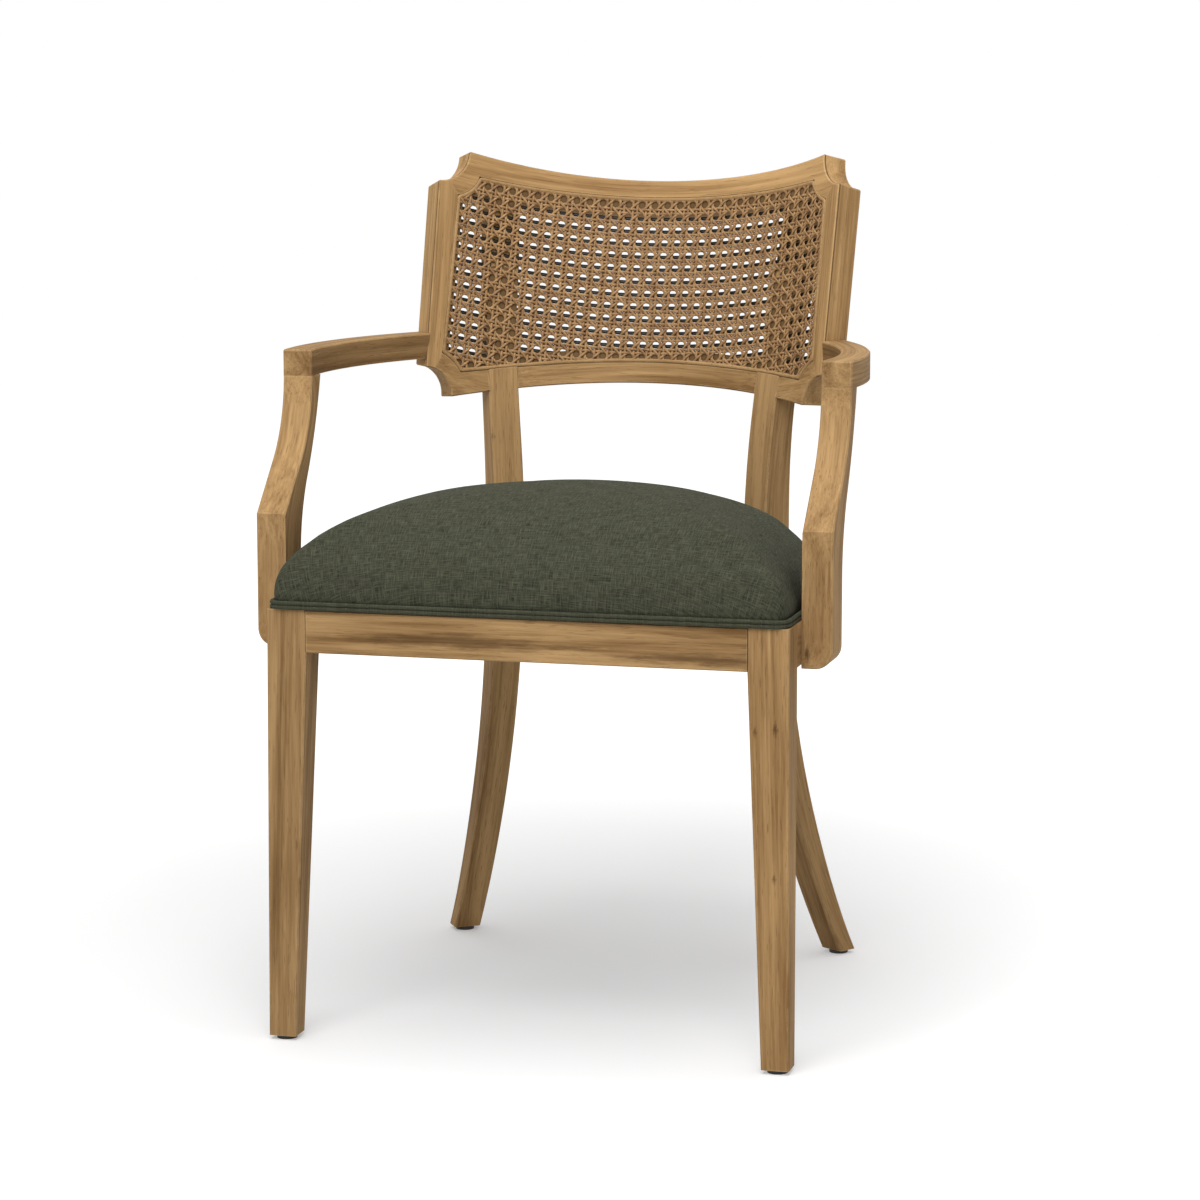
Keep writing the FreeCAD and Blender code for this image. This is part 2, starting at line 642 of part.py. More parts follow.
def cane_openings():
    """Plain grid of openings that stands for the weave."""
    pitch = size("cane_pitch")
    wide = size("cane_opening")
    low = size("frame_face - arch_mid") + spline_inset
    high = size("back_top - top_face") - spline_inset
    columns = int(2 * face_radius * math.radians(size("corner_angle")) / pitch)
    rows = int((high - low) / pitch)
    openings = []
    for column in range(columns):
        turn = math.degrees((column - (columns - 1) / 2) * pitch / face_radius)
        for row in range(rows):
            level = (low + high) / 2 + (row - (rows - 1) / 2) * pitch
            opening = Part.makeBox(wide, REACH, wide, Vector(-wide / 2, 0, level - wide / 2))
            opening.rotate(Vector(), Vector(0, 0, 1), turn)
            openings.append(opening)
    return openings


cane_sheet = one(cane_region.common(cane_ring))
node(built("cane_panel", one(cane_sheet.cut(cane_openings())), place), "cane_panel")


def on_back(angle, radius, level):
    return along(angle) * radius + Vector(0, 0, level)


def on_corner(across, radius, level):
    spot = Vector(across, radius, level)
    return Rotation(Vector(0, 0, 1), -size("corner_angle")).multVec(spot)


mid_radius = face_radius + size("back_thick") * 0.6
short_half = size("dowel_half") * 0.4
leg_head_middle = on_back(size("leg_angle_high"), mid_radius, high_level)
leg_dowel, leg_dowel_hole = dowel("leg_dowel", leg_head_middle, Vector(0, 0, 1), short_half, place)

corner = math.radians(size("corner_angle"))
outwards = Vector(math.cos(corner), -math.sin(corner), 0)
upwards = Vector(0, 0, 1)
mitre_top = on_corner((joint_top + inner_edge) / 2, mid_radius, (joint_top_level + band_top) / 2)
mitre_low = on_corner((joint_low + inner_edge) / 2, mid_radius, (joint_low_level + band_low) / 2)
mitre_top_axis = upwards * 0.6 - outwards * 0.8
mitre_low_axis = upwards * 0.25 + outwards * 0.97
mitre_dowel, mitre_dowel_hole = dowel("mitre_dowel", mitre_top, mitre_top_axis, short_half, place)
foot_dowel, foot_dowel_hole = dowel("foot_dowel", mitre_low, mitre_low_axis, short_half, place)

arm_dowels = []
arm_dowel_holes = []
for alias in ("arm_dowel_low", "arm_dowel_high"):
    level = size(alias)
    spot = on_corner(end_edge(level), face_radius + size("back_thick") / 2, level)
    pin, hole = dowel(alias, spot, outwards, size("dowel_half") * 0.7, place)
    arm_dowels.append(pin)
    arm_dowel_holes.append(hole)

top_holes = with_twins([leg_dowel_hole, mitre_dowel_hole])
node(cut("top_rail_cut", top_rail_blank, top_holes), "back_top_rail")
stile_holes = [mitre_dowel_hole, foot_dowel_hole] + arm_dowel_holes
pair("back_end_stile", cut("end_stile_cut", stile_blank, stile_holes))

# Side and rear rails, fitted to the rear legs

side_x = "half_front - side_radius"
side_inner_radius = "side_radius - rail_thick"
rail_sweep = 40
rail_sine = round(math.sin(math.radians(rail_sweep)), 6)
rail_cosine = round(math.cos(math.radians(rail_sweep)), 6)
bend_y = f"{FRONT} + side_straight_y"
side_path = [
    ("half_front", f"{FRONT} + leg_top"),
    ("half_front", bend_y),
    (f"{side_x} + side_radius * {rail_cosine}", f"{bend_y} + side_radius * {rail_sine}", "side_radius", 1),
    (f"{side_x} + ({side_inner_radius}) * {rail_cosine}", f"{bend_y} + ({side_inner_radius}) * {rail_sine}"),
    ("half_front - rail_thick", bend_y, side_inner_radius, -1),
    ("half_front - rail_thick", f"{FRONT} + leg_top"),
]
side_bar = padded_body("side_bar", "XY_Plane", "rail_low", side_path, "rail_height")
side_tenon = box("side_tenon", side_tenon_x, f"{FRONT} + leg_top - tenon_length", "rail_low + tenon_inset",
                 "tenon_thick", "tenon_length + 1", tenon_height)
side_whole = fuse("side_whole", [side_bar, side_tenon])


def behind_leg(name, start):
    """Tool that trims a rail's tail behind a rear leg, from a distance beside the leg's middle."""
    trim = doc.addObject("Part::Box", name)
    bind(trim, Length=REACH, Width=REACH, Height="2 * rail_height")
    section = sabre_placement(size("rail_low - rail_height / 2"))
    trim.Placement = section * Placement(Vector(start, 0, 0), Rotation())
    return trim


inside_trim = behind_leg("inside_trim", size("rear_width / 2 - edge_ease") - REACH)
side_rail_fit = cut("side_rail_fit", side_whole, [sabre_body, inside_trim])

rear_half = "rear_x + rear_width"
rear_bar = padded_body("rear_bar", "YZ_Plane", f"-({rear_half})",
                       eased_rectangle(f"{FRONT} + rear_rail_y", f"{FRONT} + rear_rail_y + rail_thick",
                                       "rail_low", RAIL_TOP), f"2 * ({rear_half})")
outside_trim = behind_leg("outside_trim", -size("rear_width / 4"))
leg_twin = mirror("rear_leg_twin", sabre_body)
trim_twin = mirror("outside_trim_twin", outside_trim)
rear_rail_fit = cut("rear_rail_fit", rear_bar, [sabre_body, leg_twin, outside_trim, trim_twin])

rail_dowels = []
side_dowel_holes = []
rear_dowel_holes = []
across_leg = along(size("rear_twist") + 90)
for number, share in enumerate(PAIR_SHARES):
    section = sabre_placement(size(f"rail_low + rail_height * {share}"))
    for stem, side, holes in (("side", 1, side_dowel_holes), ("rear", -1, rear_dowel_holes)):
        spot = section.multVec(Vector(side * size("rear_width / 2"), size("rail_dowel_in"), 0))
        pin, hole = dowel(f"{stem}_dowel_{number}", spot, across_leg, size("dowel_half / 2"))
        rail_dowels.append(pin)
        holes.append(hole)
group("rail_dowels", with_twins(rail_dowels))

rear_foot = sabre_placement(size("glide_height")).multVec(Vector(0, size("rear_foot_depth") / 2, 0))
rear_nail_hole = rod("rear_nail_hole", rear_foot.x, rear_foot.y, "glide_height",
                     "screw_radius / 2 + fit_gap", "nail_length + fit_gap")
rear_leg = cut("rear_leg_cut", sabre_body,
               [cane_clearance, spline_groove, leg_dowel_hole, rear_nail_hole]
               + side_dowel_holes + rear_dowel_holes)
pair("rear_leg", rear_leg)
node(cut("lower_centre_cut", lower_centre, [sabre_body, leg_twin]), "back_lower_rail")
pair("back_lower_end", cut("lower_end_cut", lower_end, [sabre_body, foot_dowel_hole]))

# Arm posts and arms

post_y = f"{FRONT} + post_front_y"
post_back = f"{FRONT} + post_front_y + post_depth"
knee_top_y = f"{FRONT} + post_front_y + knee_rise"
post_path = [
    (post_y, "post_low"),
    (post_back, "post_low"),
    (post_back, "post_back_low"),
    (f"{FRONT} + post_back_mid_y", "post_back_mid_z", "post_back_r_low", -1),
    (f"{FRONT} + post_top_y + post_top_depth", "arm_low", "post_back_r_high", 1),
    (f"{FRONT} + post_top_y", "arm_low"),
    (knee_top_y, "knee_z + knee_rise", "post_bend_radius", -1),
    (post_y, "knee_z"),
]
post_body = padded_body("arm_post", "YZ_Plane", "half_front", post_path, "post_width")


def lowest_outer(edge):
    box_of = edge.BoundBox
    return box_of.ZMax < size("post_low") + 1 and box_of.XMin > size("half_front + post_width") - 1


def post_long_edge(edge):
    """Edges along the post's profile, other than at its ends and where it lies against the rail."""
    box_of = edge.BoundBox
    flat_end = box_of.ZLength < 1
    return not flat_end and box_of.XLength < 1 and box_of.ZMin > size("post_low + post_round") - 1


treat_edges(post_body, "Fillet", lowest_outer, Radius="post_round")
treat_edges(post_body, "Chamfer", post_long_edge, Size="edge_ease")

tail_level = size("(arm_dowel_low + arm_dowel_high) / 2")
stile_end = place.multVec(on_corner(end_edge(tail_level), face_radius + size("back_thick") / 2, tail_level))
arm_tail_end = f"{stile_end.y} + arm_tail_y"
arm_path = [
    ("half_front + post_width", f"{FRONT} + post_top_y"),
    (f"{stile_end.x} + arm_tail_out", arm_tail_end, "arm_radius", 1),
    (f"{stile_end.x} + arm_tail_in", arm_tail_end),
    ("half_front", f"{FRONT} + post_top_y", "arm_radius - post_width", -1),
]
arm_body = padded_body("arm", "XY_Plane", "arm_low", arm_path, "arm_thick")


def arm_edge(edge):
    """Upper edges, and the two upright corners at the front."""
    box_of = edge.BoundBox
    upper = box_of.ZMin > size("arm_low + arm_thick") - 1
    front = box_of.YMax < size(f"{FRONT} + post_top_y") + 1 and box_of.XLength < 1
    return (upper and box_of.YMin < size(arm_tail_end) - 1) or front


treat_edges(arm_body, "Chamfer", arm_edge, Size="edge_ease")


def arm_end_tool():
    """Block that stands where the back is, so that the arm's tail ends on the end stile's face."""
    points = [(end_edge(-REACH), -REACH), (end_edge(REACH), REACH), (-REACH, REACH), (-REACH, -REACH)]
    return corner_side(corner_prism(points), 1)


end_tool = built("arm_end_tool", arm_end_tool(), place)

post_dowels = []
post_dowel_holes = []
for number, share in enumerate(PAIR_SHARES):
    dowel_x = f"half_front + post_width * {share}"
    dowel_y = f"{FRONT} + post_top_y + post_top_depth / 2"
    post_dowels.append(rod(f"post_dowel_{number}", dowel_x, dowel_y, "arm_low - dowel_half",
                           "dowel_radius", "2 * dowel_half"))
    post_dowel_holes.append(rod(f"post_dowel_hole_{number}", dowel_x, dowel_y,
                                "arm_low - dowel_half - fit_gap", "dowel_radius + fit_gap",
                                "2 * dowel_half + 2 * fit_gap"))
group("arm_post_dowels", with_twins(post_dowels))
group("arm_back_dowels", with_twins(arm_dowels))
group("back_frame_dowels", with_twins([leg_dowel, mitre_dowel, foot_dowel]))

bolts = []
bolt_holes = []
rail_inner = "half_front - rail_thick"
bolt_length = "rail_thick + post_width * 0.6"
bolt_place = f"{FRONT} + bolt_y"
for number, share in enumerate(PAIR_SHARES):
    bolt_z = f"rail_low + rail_height * {share}"
    shank = rod(f"bolt_shank_{number}", rail_inner, bolt_place, bolt_z, "bolt_radius", bolt_length, "x")
    head = rod(f"bolt_head_{number}", f"{rail_inner} - bolt_radius", bolt_place, bolt_z, "bolt_head",
               "bolt_radius", "x")
    bolts.append(fuse(f"bolt_{number}", [shank, head]))
    bolt_holes.append(rod(f"bolt_hole_{number}", rail_inner, bolt_place, bolt_z, "bolt_radius + fit_gap",
                          f"{bolt_length} + fit_gap", "x"))
group("arm_post_bolts", with_twins(bolts))

pair("arm_post", cut("arm_post_cut", post_body, post_dowel_holes + bolt_holes))
pair("arm", cut("arm_cut", arm_body, [end_tool] + post_dowel_holes + arm_dowel_holes))

# Corner blocks and their screws

block_z = f"{RAIL_TOP} - block_height"
front_block_path = [
    (f"{leg_inner} - block_front", f"{FRONT} + rail_thick"),
    (leg_inner, f"{FRONT} + rail_thick"),
    (leg_inner, f"{FRONT} + leg_top"),
    (rail_inner, f"{FRONT} + leg_top"),
    (rail_inner, f"{FRONT} + block_side"),
    (f"{rail_inner} - block_end", f"{FRONT} + block_side"),
    (f"{leg_inner} - block_front", f"{FRONT} + rail_thick + block_end"),
]
front_block = padded_body("front_block", "XY_Plane", block_z, front_block_path, "block_height")

# Corners of a rear block, from the forward point of the leg and from the front face of the rear rail
REAR_BLOCK = [(-62, 0), (-62, -13), (24, -68), (52, -68), (20, -18), (-10, 0)]
rear_block_path = [(f"rear_x + {x}", f"{FRONT} + rear_rail_y + {y}") for x, y in REAR_BLOCK]
rear_block = padded_body("rear_block", "XY_Plane", block_z, rear_block_path, "block_height")

screw_z = f"{RAIL_TOP} - block_height / 2"
deck_screw_length = "block_height + deck_thick * 0.7"


def shifted(spot, axis, expression):
    """Place moved along one axis."""
    moved = dict(spot)
    moved[axis] = f"{spot[axis]} - ({expression})"
    return moved["x"], moved["y"], moved["z"]


def screw(name, spot, towards, length):
    """Screw and its counterbored hole, driven from a place in the direction of an axis."""
    axis = towards.strip("-")
    sign = "-1" if towards.startswith("-") else "1"
    start = (spot["x"], spot["y"], spot["z"])
    shank = rod(name + "_shank", *start, "screw_radius", length, towards)
    head_start = shifted(spot, axis, f"{sign} * screw_radius")
    head = rod(name + "_head", *head_start, "screw_head", "screw_radius", towards)
    drill = rod(name + "_drill", *start, "screw_radius + fit_gap", f"{length} + fit_gap", towards)
    sink_start = shifted(spot, axis, f"{sign} * screw_sink")
    sink = rod(name + "_sink", *sink_start, "screw_head + fit_gap", "screw_sink", towards)
    return fuse(name, [shank, head]), fuse(name + "_hole", [drill, sink])


front_screw, front_screw_hole = screw(
    "front_block_screw",
    {"x": f"{leg_inner} - block_front + block_end",
     "y": f"{FRONT} + rail_thick + 1.5 * block_end",
     "z": screw_z},
    "-y", "1.5 * block_end + screw_grip")
side_screw, side_screw_hole = screw(
    "side_block_screw",
    {"x": f"{rail_inner} - block_end", "y": f"{FRONT} + block_side - block_end / 2", "z": screw_z},
    "x", "block_end + screw_grip")
rear_screw, rear_screw_hole = screw(
    "rear_block_screw",
    {"x": "rear_x - 4 * block_end", "y": f"{FRONT} + rear_rail_y - 1.5 * block_end", "z": screw_z},
    "y", "1.5 * block_end + screw_grip")
deck_screw_front, deck_hole_front = screw(
    "deck_screw_front",
    {"x": f"{leg_inner} - block_end", "y": f"{FRONT} + rail_thick + 1.5 * block_end", "z": block_z},
    "z", deck_screw_length)
deck_screw_rear, deck_hole_rear = screw(
    "deck_screw_rear",
    {"x": "rear_x", "y": f"{FRONT} + rear_rail_y - 2 * block_end", "z": block_z},
    "z", deck_screw_length)
front_block_holes = [front_screw_hole, side_screw_hole, deck_hole_front]
pair("corner_block_front", cut("front_block_cut", front_block, front_block_holes))
rear_block_tools = [side_rail_fit, sabre_body, rear_screw_hole, deck_hole_rear]
pair("corner_block_rear", cut("rear_block_cut", rear_block, rear_block_tools))
group("corner_block_screws", with_twins([front_screw, side_screw, rear_screw]))
group("seat_screws", with_twins([deck_screw_front, deck_screw_rear]))

node(cut("front_rail_cut", front_rail, with_twins([front_screw_hole])), "front_rail")
pair("side_rail", cut("side_rail_cut", side_rail_fit, bolt_holes + [side_screw_hole] + side_dowel_holes))
rear_hole_tools = with_twins(rear_dowel_holes + [rear_screw_hole])
node(cut("rear_rail_cut", rear_rail_fit, rear_hole_tools), "rear_rail")

# Upholstered seat


def seat_wire(inset, height, scale=1.0):
    """Outline of the seat, drawn in by an inset or shrunk towards its middle."""
    half = size("seat_half") - inset
    front = size(FRONT) - size("seat_over") + inset
    corner = max(size("seat_corner") - inset, size("welt_radius"))
    bend = size(FRONT) + size("side_straight_y")
    radius = size("side_radius") - inset
    axis_x = half - radius
    rear = size(FRONT) + size("seat_rear_y") - inset

    def on_side(angle):
        turn = math.radians(angle)
        return axis_x + radius * math.cos(turn), bend + radius * math.sin(turn)

    middle_y = (front + rear) / 2

    def at(x, y):
        return Vector(x * scale, middle_y + (y - middle_y) * scale, height)

    eased = corner * (1 - math.sqrt(0.5))
    sweep = size("seat_sweep")
    tail = on_side(sweep)
    bow = on_side(sweep / 2)
    edges = [
        Part.LineSegment(at(corner - half, front), at(half - corner, front)),
        Part.Arc(at(half - corner, front), at(half - eased, front + eased), at(half, front + corner)),
        Part.LineSegment(at(half, front + corner), at(half, bend)),
        Part.Arc(at(half, bend), at(*bow), at(*tail)),
        Part.Arc(at(*tail), at(0, rear), at(-tail[0], tail[1])),
        Part.Arc(at(-tail[0], tail[1]), at(-bow[0], bow[1]), at(-half, bend)),
        Part.LineSegment(at(-half, bend), at(-half, front + corner)),
        Part.Arc(at(-half, front + corner), at(eased - half, front + eased), at(corner - half, front)),
    ]
    return Part.Wire([edge.toShape() for edge in edges])


CROWN_SHARES = (0, 0.3, 0.55, 0.76, 0.91, 0.985)  # heights of the crown's sections
CROWN_FULLNESS = 2.6  # 2 gives an ellipse, more a fuller shoulder


def crowned(inset, low, high):
    """Solid with upright sides up to the welt and a full, rounded crown above it."""
    spring = size(f"{RAIL_TOP} + 4 * welt_radius + 1")
    wires = [seat_wire(inset, low)]
    for share in CROWN_SHARES:
        scale = (1 - share ** CROWN_FULLNESS) ** (1 / CROWN_FULLNESS)
        wires.append(seat_wire(inset, spring + (high - spring) * share, scale))
    return Part.makeLoft(wires, True, True)


seat_base = size(RAIL_TOP)
crown_top = seat_base + size("deck_thick + crown_height")
cover_inset = size("2 * welt_radius + 2 * fit_gap")
inner_inset = cover_inset + size("cover_thick")
outer_solid = crowned(cover_inset, seat_base, crown_top)
inner_solid = crowned(inner_inset, size("rail_low"), crown_top - size("cover_thick"))
node(built("seat_cover", outer_solid.cut(inner_solid)), "seat_cover")
deck_top = seat_base + size("deck_thick")
below_deck = Part.makeBox(2 * REACH, 2 * REACH, deck_top, Vector(-REACH, -REACH, 0))
foam_solid = inner_solid.cut(below_deck)
node(built("seat_foam", foam_solid), "seat_foam")
deck_face = Part.Face(seat_wire(inner_inset + size("3 * fit_gap"), seat_base))
deck = built("deck_board", deck_face.extrude(Vector(0, 0, size("deck_thick"))))
node(cut("seat_deck_cut", deck, with_twins([deck_hole_front, deck_hole_rear])), "seat_deck")


CORD_SIDES = 8


def welt_cord(height):
    """Cord of the welt: an eight-sided section swept round the seat."""
    path = seat_wire(size("welt_radius"), height)
    start = path.Edges[0].valueAt(path.Edges[0].FirstParameter)
    step = math.pi / CORD_SIDES
    radius = size("welt_radius") / math.cos(step)
    points = []
    for number in range(CORD_SIDES + 1):
        turn = (2 * number + 1) * step
        points.append(start + Vector(0, radius * math.cos(turn), radius * math.sin(turn)))
    return path.makePipeShell([Part.makePolygon(points)], True, False, 2)


cords = [welt_cord(seat_base + size("welt_radius") * level) for level in (1, 3)]
node(built("seat_welt", Part.makeCompound(cords)), "seat_welt")

# Dust cover and foot glides

# Rear corners of the dust cover, from the forward point of a rear leg and from the rear rail
DUST_REAR = [(14, -32), (-26, 8)]
dust_right = [
    (f"{leg_inner} - dust_margin", f"{FRONT} + dust_lap"),
    (f"{leg_inner} - dust_margin", f"{FRONT} + leg_top + dust_margin"),
    (f"{rail_inner} + dust_lap", f"{FRONT} + leg_top + dust_margin"),
    (f"{rail_inner} + dust_lap", bend_y),
]
dust_right += [(f"rear_x + {x}", f"{FRONT} + rear_rail_y + {y}") for x, y in DUST_REAR]
dust_path = dust_right + [(f"-({x})", y) for x, y in reversed(dust_right)]
node(padded_body("dust_sheet", "XY_Plane", "rail_low - dust_thick", dust_path, "dust_thick"), "dust_cover")

glides = [
    rod("front_glide", front_foot_x, front_foot_y, "0", "glide_radius", "glide_height"),
    rod("rear_glide", rear_foot.x, rear_foot.y, "0", "glide_radius", "glide_height"),
]
nails = [
    rod("front_nail", front_foot_x, front_foot_y, "glide_height", "screw_radius / 2", "nail_length"),
    rod("rear_nail", rear_foot.x, rear_foot.y, "glide_height", "screw_radius / 2", "nail_length"),
]
group("foot_glides", with_twins(glides))
group("glide_nails", with_twins(nails))

# Check every object and write one file for each sub-part

doc.recompute()
for thing in doc.Objects:
    if "Invalid" in thing.State or "Error" in thing.State:
        raise RuntimeError(f"{thing.Label}: {thing.State}")
os.makedirs("parts", exist_ok=True)
for thing in nodes:
    if thing.Shape.isNull() or not thing.Shape.isValid():
        raise RuntimeError(f"{thing.Label}: no valid shape")
    thing.Shape.exportStep(f"parts/{thing.Label}.step")
    solids = len(thing.Shape.Solids)
    print(f"{thing.Label}: {solids} solid(s), {thing.Shape.Volume / 1000:.1f} cm3")
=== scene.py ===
# %% [markdown]
# # A dining armchair with a cane back
# The chair has a weathered hardwood frame, a hollow back filled with woven cane, and a crowned seat
# in dark olive linen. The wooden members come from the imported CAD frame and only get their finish
# here. The cane, the cushion, its welt and the cloth under the seat are made in this file, because
# what is woven, swollen or stretched shows little of its nature in a CAD solid.

# %% Load the frame
import json
import math
import bmesh
import bpy
import numpy
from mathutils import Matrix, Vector


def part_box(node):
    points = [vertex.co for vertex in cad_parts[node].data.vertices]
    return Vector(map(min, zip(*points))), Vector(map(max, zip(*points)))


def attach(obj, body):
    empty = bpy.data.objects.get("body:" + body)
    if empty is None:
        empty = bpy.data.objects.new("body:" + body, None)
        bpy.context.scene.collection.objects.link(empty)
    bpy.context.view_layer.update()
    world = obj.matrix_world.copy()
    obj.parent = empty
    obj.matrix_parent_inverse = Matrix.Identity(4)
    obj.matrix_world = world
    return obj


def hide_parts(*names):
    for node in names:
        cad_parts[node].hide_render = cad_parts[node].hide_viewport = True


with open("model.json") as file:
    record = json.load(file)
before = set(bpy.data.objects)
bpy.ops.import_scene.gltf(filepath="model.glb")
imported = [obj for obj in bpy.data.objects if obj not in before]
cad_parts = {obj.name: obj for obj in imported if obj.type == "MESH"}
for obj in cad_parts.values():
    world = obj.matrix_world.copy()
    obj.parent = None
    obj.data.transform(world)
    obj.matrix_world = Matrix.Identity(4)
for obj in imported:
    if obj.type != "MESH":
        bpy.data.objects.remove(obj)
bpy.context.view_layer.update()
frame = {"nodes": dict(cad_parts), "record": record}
nodes = frame["nodes"]
FRONT_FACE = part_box("front_leg_right")[0][1]  # all depths are measured backwards from here

# %% [markdown]
# ## Small helpers
# Node trees draw every finish and weave every strand of this chair. Writing a tree node by node takes
# many lines, so one helper adds a node and fills its inputs, each with a plain value or with another
# node's output. Three more stand for the nodes that are used most.

# %% Helpers for node trees
def plug(tree, node, inputs):
    """Fill a node's inputs, each with a value or with another node's output."""
    for name, value in inputs.items():
        if isinstance(value, bpy.types.NodeSocket):
            tree.links.new(value, node.inputs[name])
        else:
            node.inputs[name].default_value = value


def add(tree, kind, inputs=None, **settings):
    """New node with its settings and inputs."""
    made = tree.nodes.new(kind)
    for name, value in settings.items():
        setattr(made, name, value)
    plug(tree, made, inputs or {})
    return made


def maths(tree, operation, first, *others):
    """Math nodes in a row: each takes the result so far and the next socket or number."""
    for other in others or (0,):
        first = add(tree, "ShaderNodeMath", {0: first, 1: other}, operation=operation).outputs[0]
    return first


def vectors(tree, operation, first, second=(0, 0, 0)):
    """Vector Math node; lengths and dot products give a number, the others a vector."""
    made = add(tree, "ShaderNodeVectorMath", {0: first, 1: second}, operation=operation)
    return made.outputs["Value" if operation in ("DISTANCE", "DOT_PRODUCT", "LENGTH") else "Vector"]


def mapped(tree, value, low, high, to_low=0.0, to_high=1.0, **settings):
    """A value brought from one range to another, held at its ends."""
    ranges = {"Value": value, "From Min": low, "From Max": high, "To Min": to_low, "To Max": to_high}
    return add(tree, "ShaderNodeMapRange", ranges, **settings).outputs["Result"]


print("helpers for node trees ready")

# %% [markdown]
# The finished model keeps no live modifiers, so another helper turns what a modifier shows into a
# plain mesh.

# %% Helpers for objects and materials
def new_object(name, mesh):
    piece = bpy.data.objects.new(name, mesh)
    bpy.context.scene.collection.objects.link(piece)
    return piece


def plain_mesh(piece):
    """Replace an object's mesh by what its modifiers show, and drop the modifiers."""
    graph = bpy.context.evaluated_depsgraph_get()
    result = bpy.data.meshes.new_from_object(piece.evaluated_get(graph))
    piece.modifiers.clear()
    old = piece.data
    piece.data = result
    bpy.data.meshes.remove(old)
    result.name = piece.name
    print(piece.name, "faces:", len(result.polygons))
    return piece


def new_material(name):
    """Material with its node tree and its shader."""
    material = bpy.data.materials.new(name)
    material.use_nodes = True
    return material, material.node_tree, material.node_tree.nodes["Principled BSDF"]


print("helpers for objects and materials ready")

# %% [markdown]
# ## Camera, floor and light
# The picture was taken from the front, a little from the sitter's left and slightly above, with a
# long lens, so the legs stay nearly parallel. The background is white and the floor keeps a soft
# shadow. The world is white to the camera, and a softer level of it lights the chair. One large lamp
# hangs high in front and a weaker one hangs above: large lamps give the shadow its soft edge.

# %% Camera
CAMERA_PLACE = (0.90665, FRONT_FACE - 3.1409, 0.9096)
CAMERA_TURN = (math.radians(81.57), 0, math.radians(14.88))
CAMERA_LENS = 109.86

camera = new_object("camera", bpy.data.cameras.new("camera"))
camera.location = CAMERA_PLACE
camera.rotation_euler = CAMERA_TURN
camera.data.lens = CAMERA_LENS
camera.data.sensor_width = 36
bpy.context.scene.camera = camera
bpy.context.scene.view_settings.view_transform = "Standard"
print("camera at", CAMERA_PLACE)

# %% White world that lights the chair softly
AMBIENT = 0.38


def seen_directly(tree):
    """1 for what the camera, a reflection or a clear material sees, else 0."""
    rays = add(tree, "ShaderNodeLightPath").outputs
    return maths(tree, "MAXIMUM", rays["Is Camera Ray"], rays["Is Glossy Ray"], rays["Is Transmission Ray"])


world = bpy.data.worlds.new("studio")
bpy.context.scene.world = world
world.use_nodes = True
sky = world.node_tree
sky_level = mapped(sky, seen_directly(sky), 0.0, 1.0, AMBIENT, 1.0)
plug(sky, sky.nodes["Background"], {"Color": (1, 1, 1, 1), "Strength": sky_level})
print("ambient level", AMBIENT)

# %% Floor
FLOOR_HALF = 6.0
FLOOR_WHITE = 0.7
FLOOR_GLOW = 0.245  # what the lamps leave short of white under the chair
FAR_GLOW = 0.77  # the same, far from the lamps
GLOW_REACH = (0.05, 1.78)
GLOW_MIDDLE = (-0.2, 0.17, 0)

floor_mesh = bpy.data.meshes.new("floor")
floor_corners = [(x * FLOOR_HALF, y * FLOOR_HALF, 0) for x, y in ((-1, -1), (1, -1), (1, 1), (-1, 1))]
floor_mesh.from_pydata(floor_corners, [], [(0, 1, 2, 3)])
floor = new_object("floor", floor_mesh)
paper, paper_tree, paper_shader = new_material("floor_paper")
paper_place = add(paper_tree, "ShaderNodeTexCoord").outputs["Object"]
away = vectors(paper_tree, "DISTANCE", paper_place, GLOW_MIDDLE)
glow = mapped(paper_tree, away, *GLOW_REACH, FLOOR_GLOW, FAR_GLOW, interpolation_type="SMOOTHSTEP")
plug(paper_tree, paper_shader, {
    "Base Color": (FLOOR_WHITE, FLOOR_WHITE, FLOOR_WHITE, 1), "Roughness": 0.9, "Specular IOR Level": 0.0,
    "Emission Color": (1, 1, 1, 1),
    "Emission Strength": maths(paper_tree, "MULTIPLY", seen_directly(paper_tree), glow)})
floor_mesh.materials.append(paper)
print("floor", 2 * FLOOR_HALF, "m wide")

# %% Lamps
LAMPS = [  # name, place, width, watts
    ("lamp_front", (0.1, -2.6, 3.0), 2.6, 92),
    ("lamp_top", (0.0, 0.0, 3.4), 3.0, 44),
]
TARGET = Vector((0, 0, 0.45))

for name, place, width, watts in LAMPS:
    lamp = new_object(name, bpy.data.lights.new(name, "AREA"))
    lamp.location = place
    lamp.rotation_euler = (TARGET - Vector(place)).to_track_quat("-Z", "Y").to_euler()
    lamp.data.size = width
    lamp.data.energy = watts
    print(name, watts, "W")

# %% [markdown]
# ## The wood finish
# The frame is a light hardwood with a matt, weathered stain: long streaks along each member, fine
# dark pores, and a small knot here and there. A picture of wood could be laid on each member, but it
# would not follow a bent leg and would repeat. Here one shader group draws the grain along its own Z
# axis, and each material turns Z along its member and shifts it, so that no two members show the same
# piece of the tree.

# %% Helpers for groups of nodes
def node_group(kind, name, inputs, outputs):
    """Empty group with named sockets: inputs are (name, kind, default or None), outputs (name, kind)."""
    tree = bpy.data.node_groups.new(name, kind)
    for label, socket_kind, default in inputs:
        socket = tree.interface.new_socket(label, in_out="INPUT", socket_type="NodeSocket" + socket_kind)
        if default is not None:
            socket.default_value = default
    for label, socket_kind in outputs:
        tree.interface.new_socket(label, in_out="OUTPUT", socket_type="NodeSocket" + socket_kind)
    return tree, add(tree, "NodeGroupInput").outputs, add(tree, "NodeGroupOutput")


def use(tree, group, inputs):
    """A group placed in a tree: its outputs."""
    return add(tree, "ShaderNodeGroup", inputs, node_tree=group).outputs


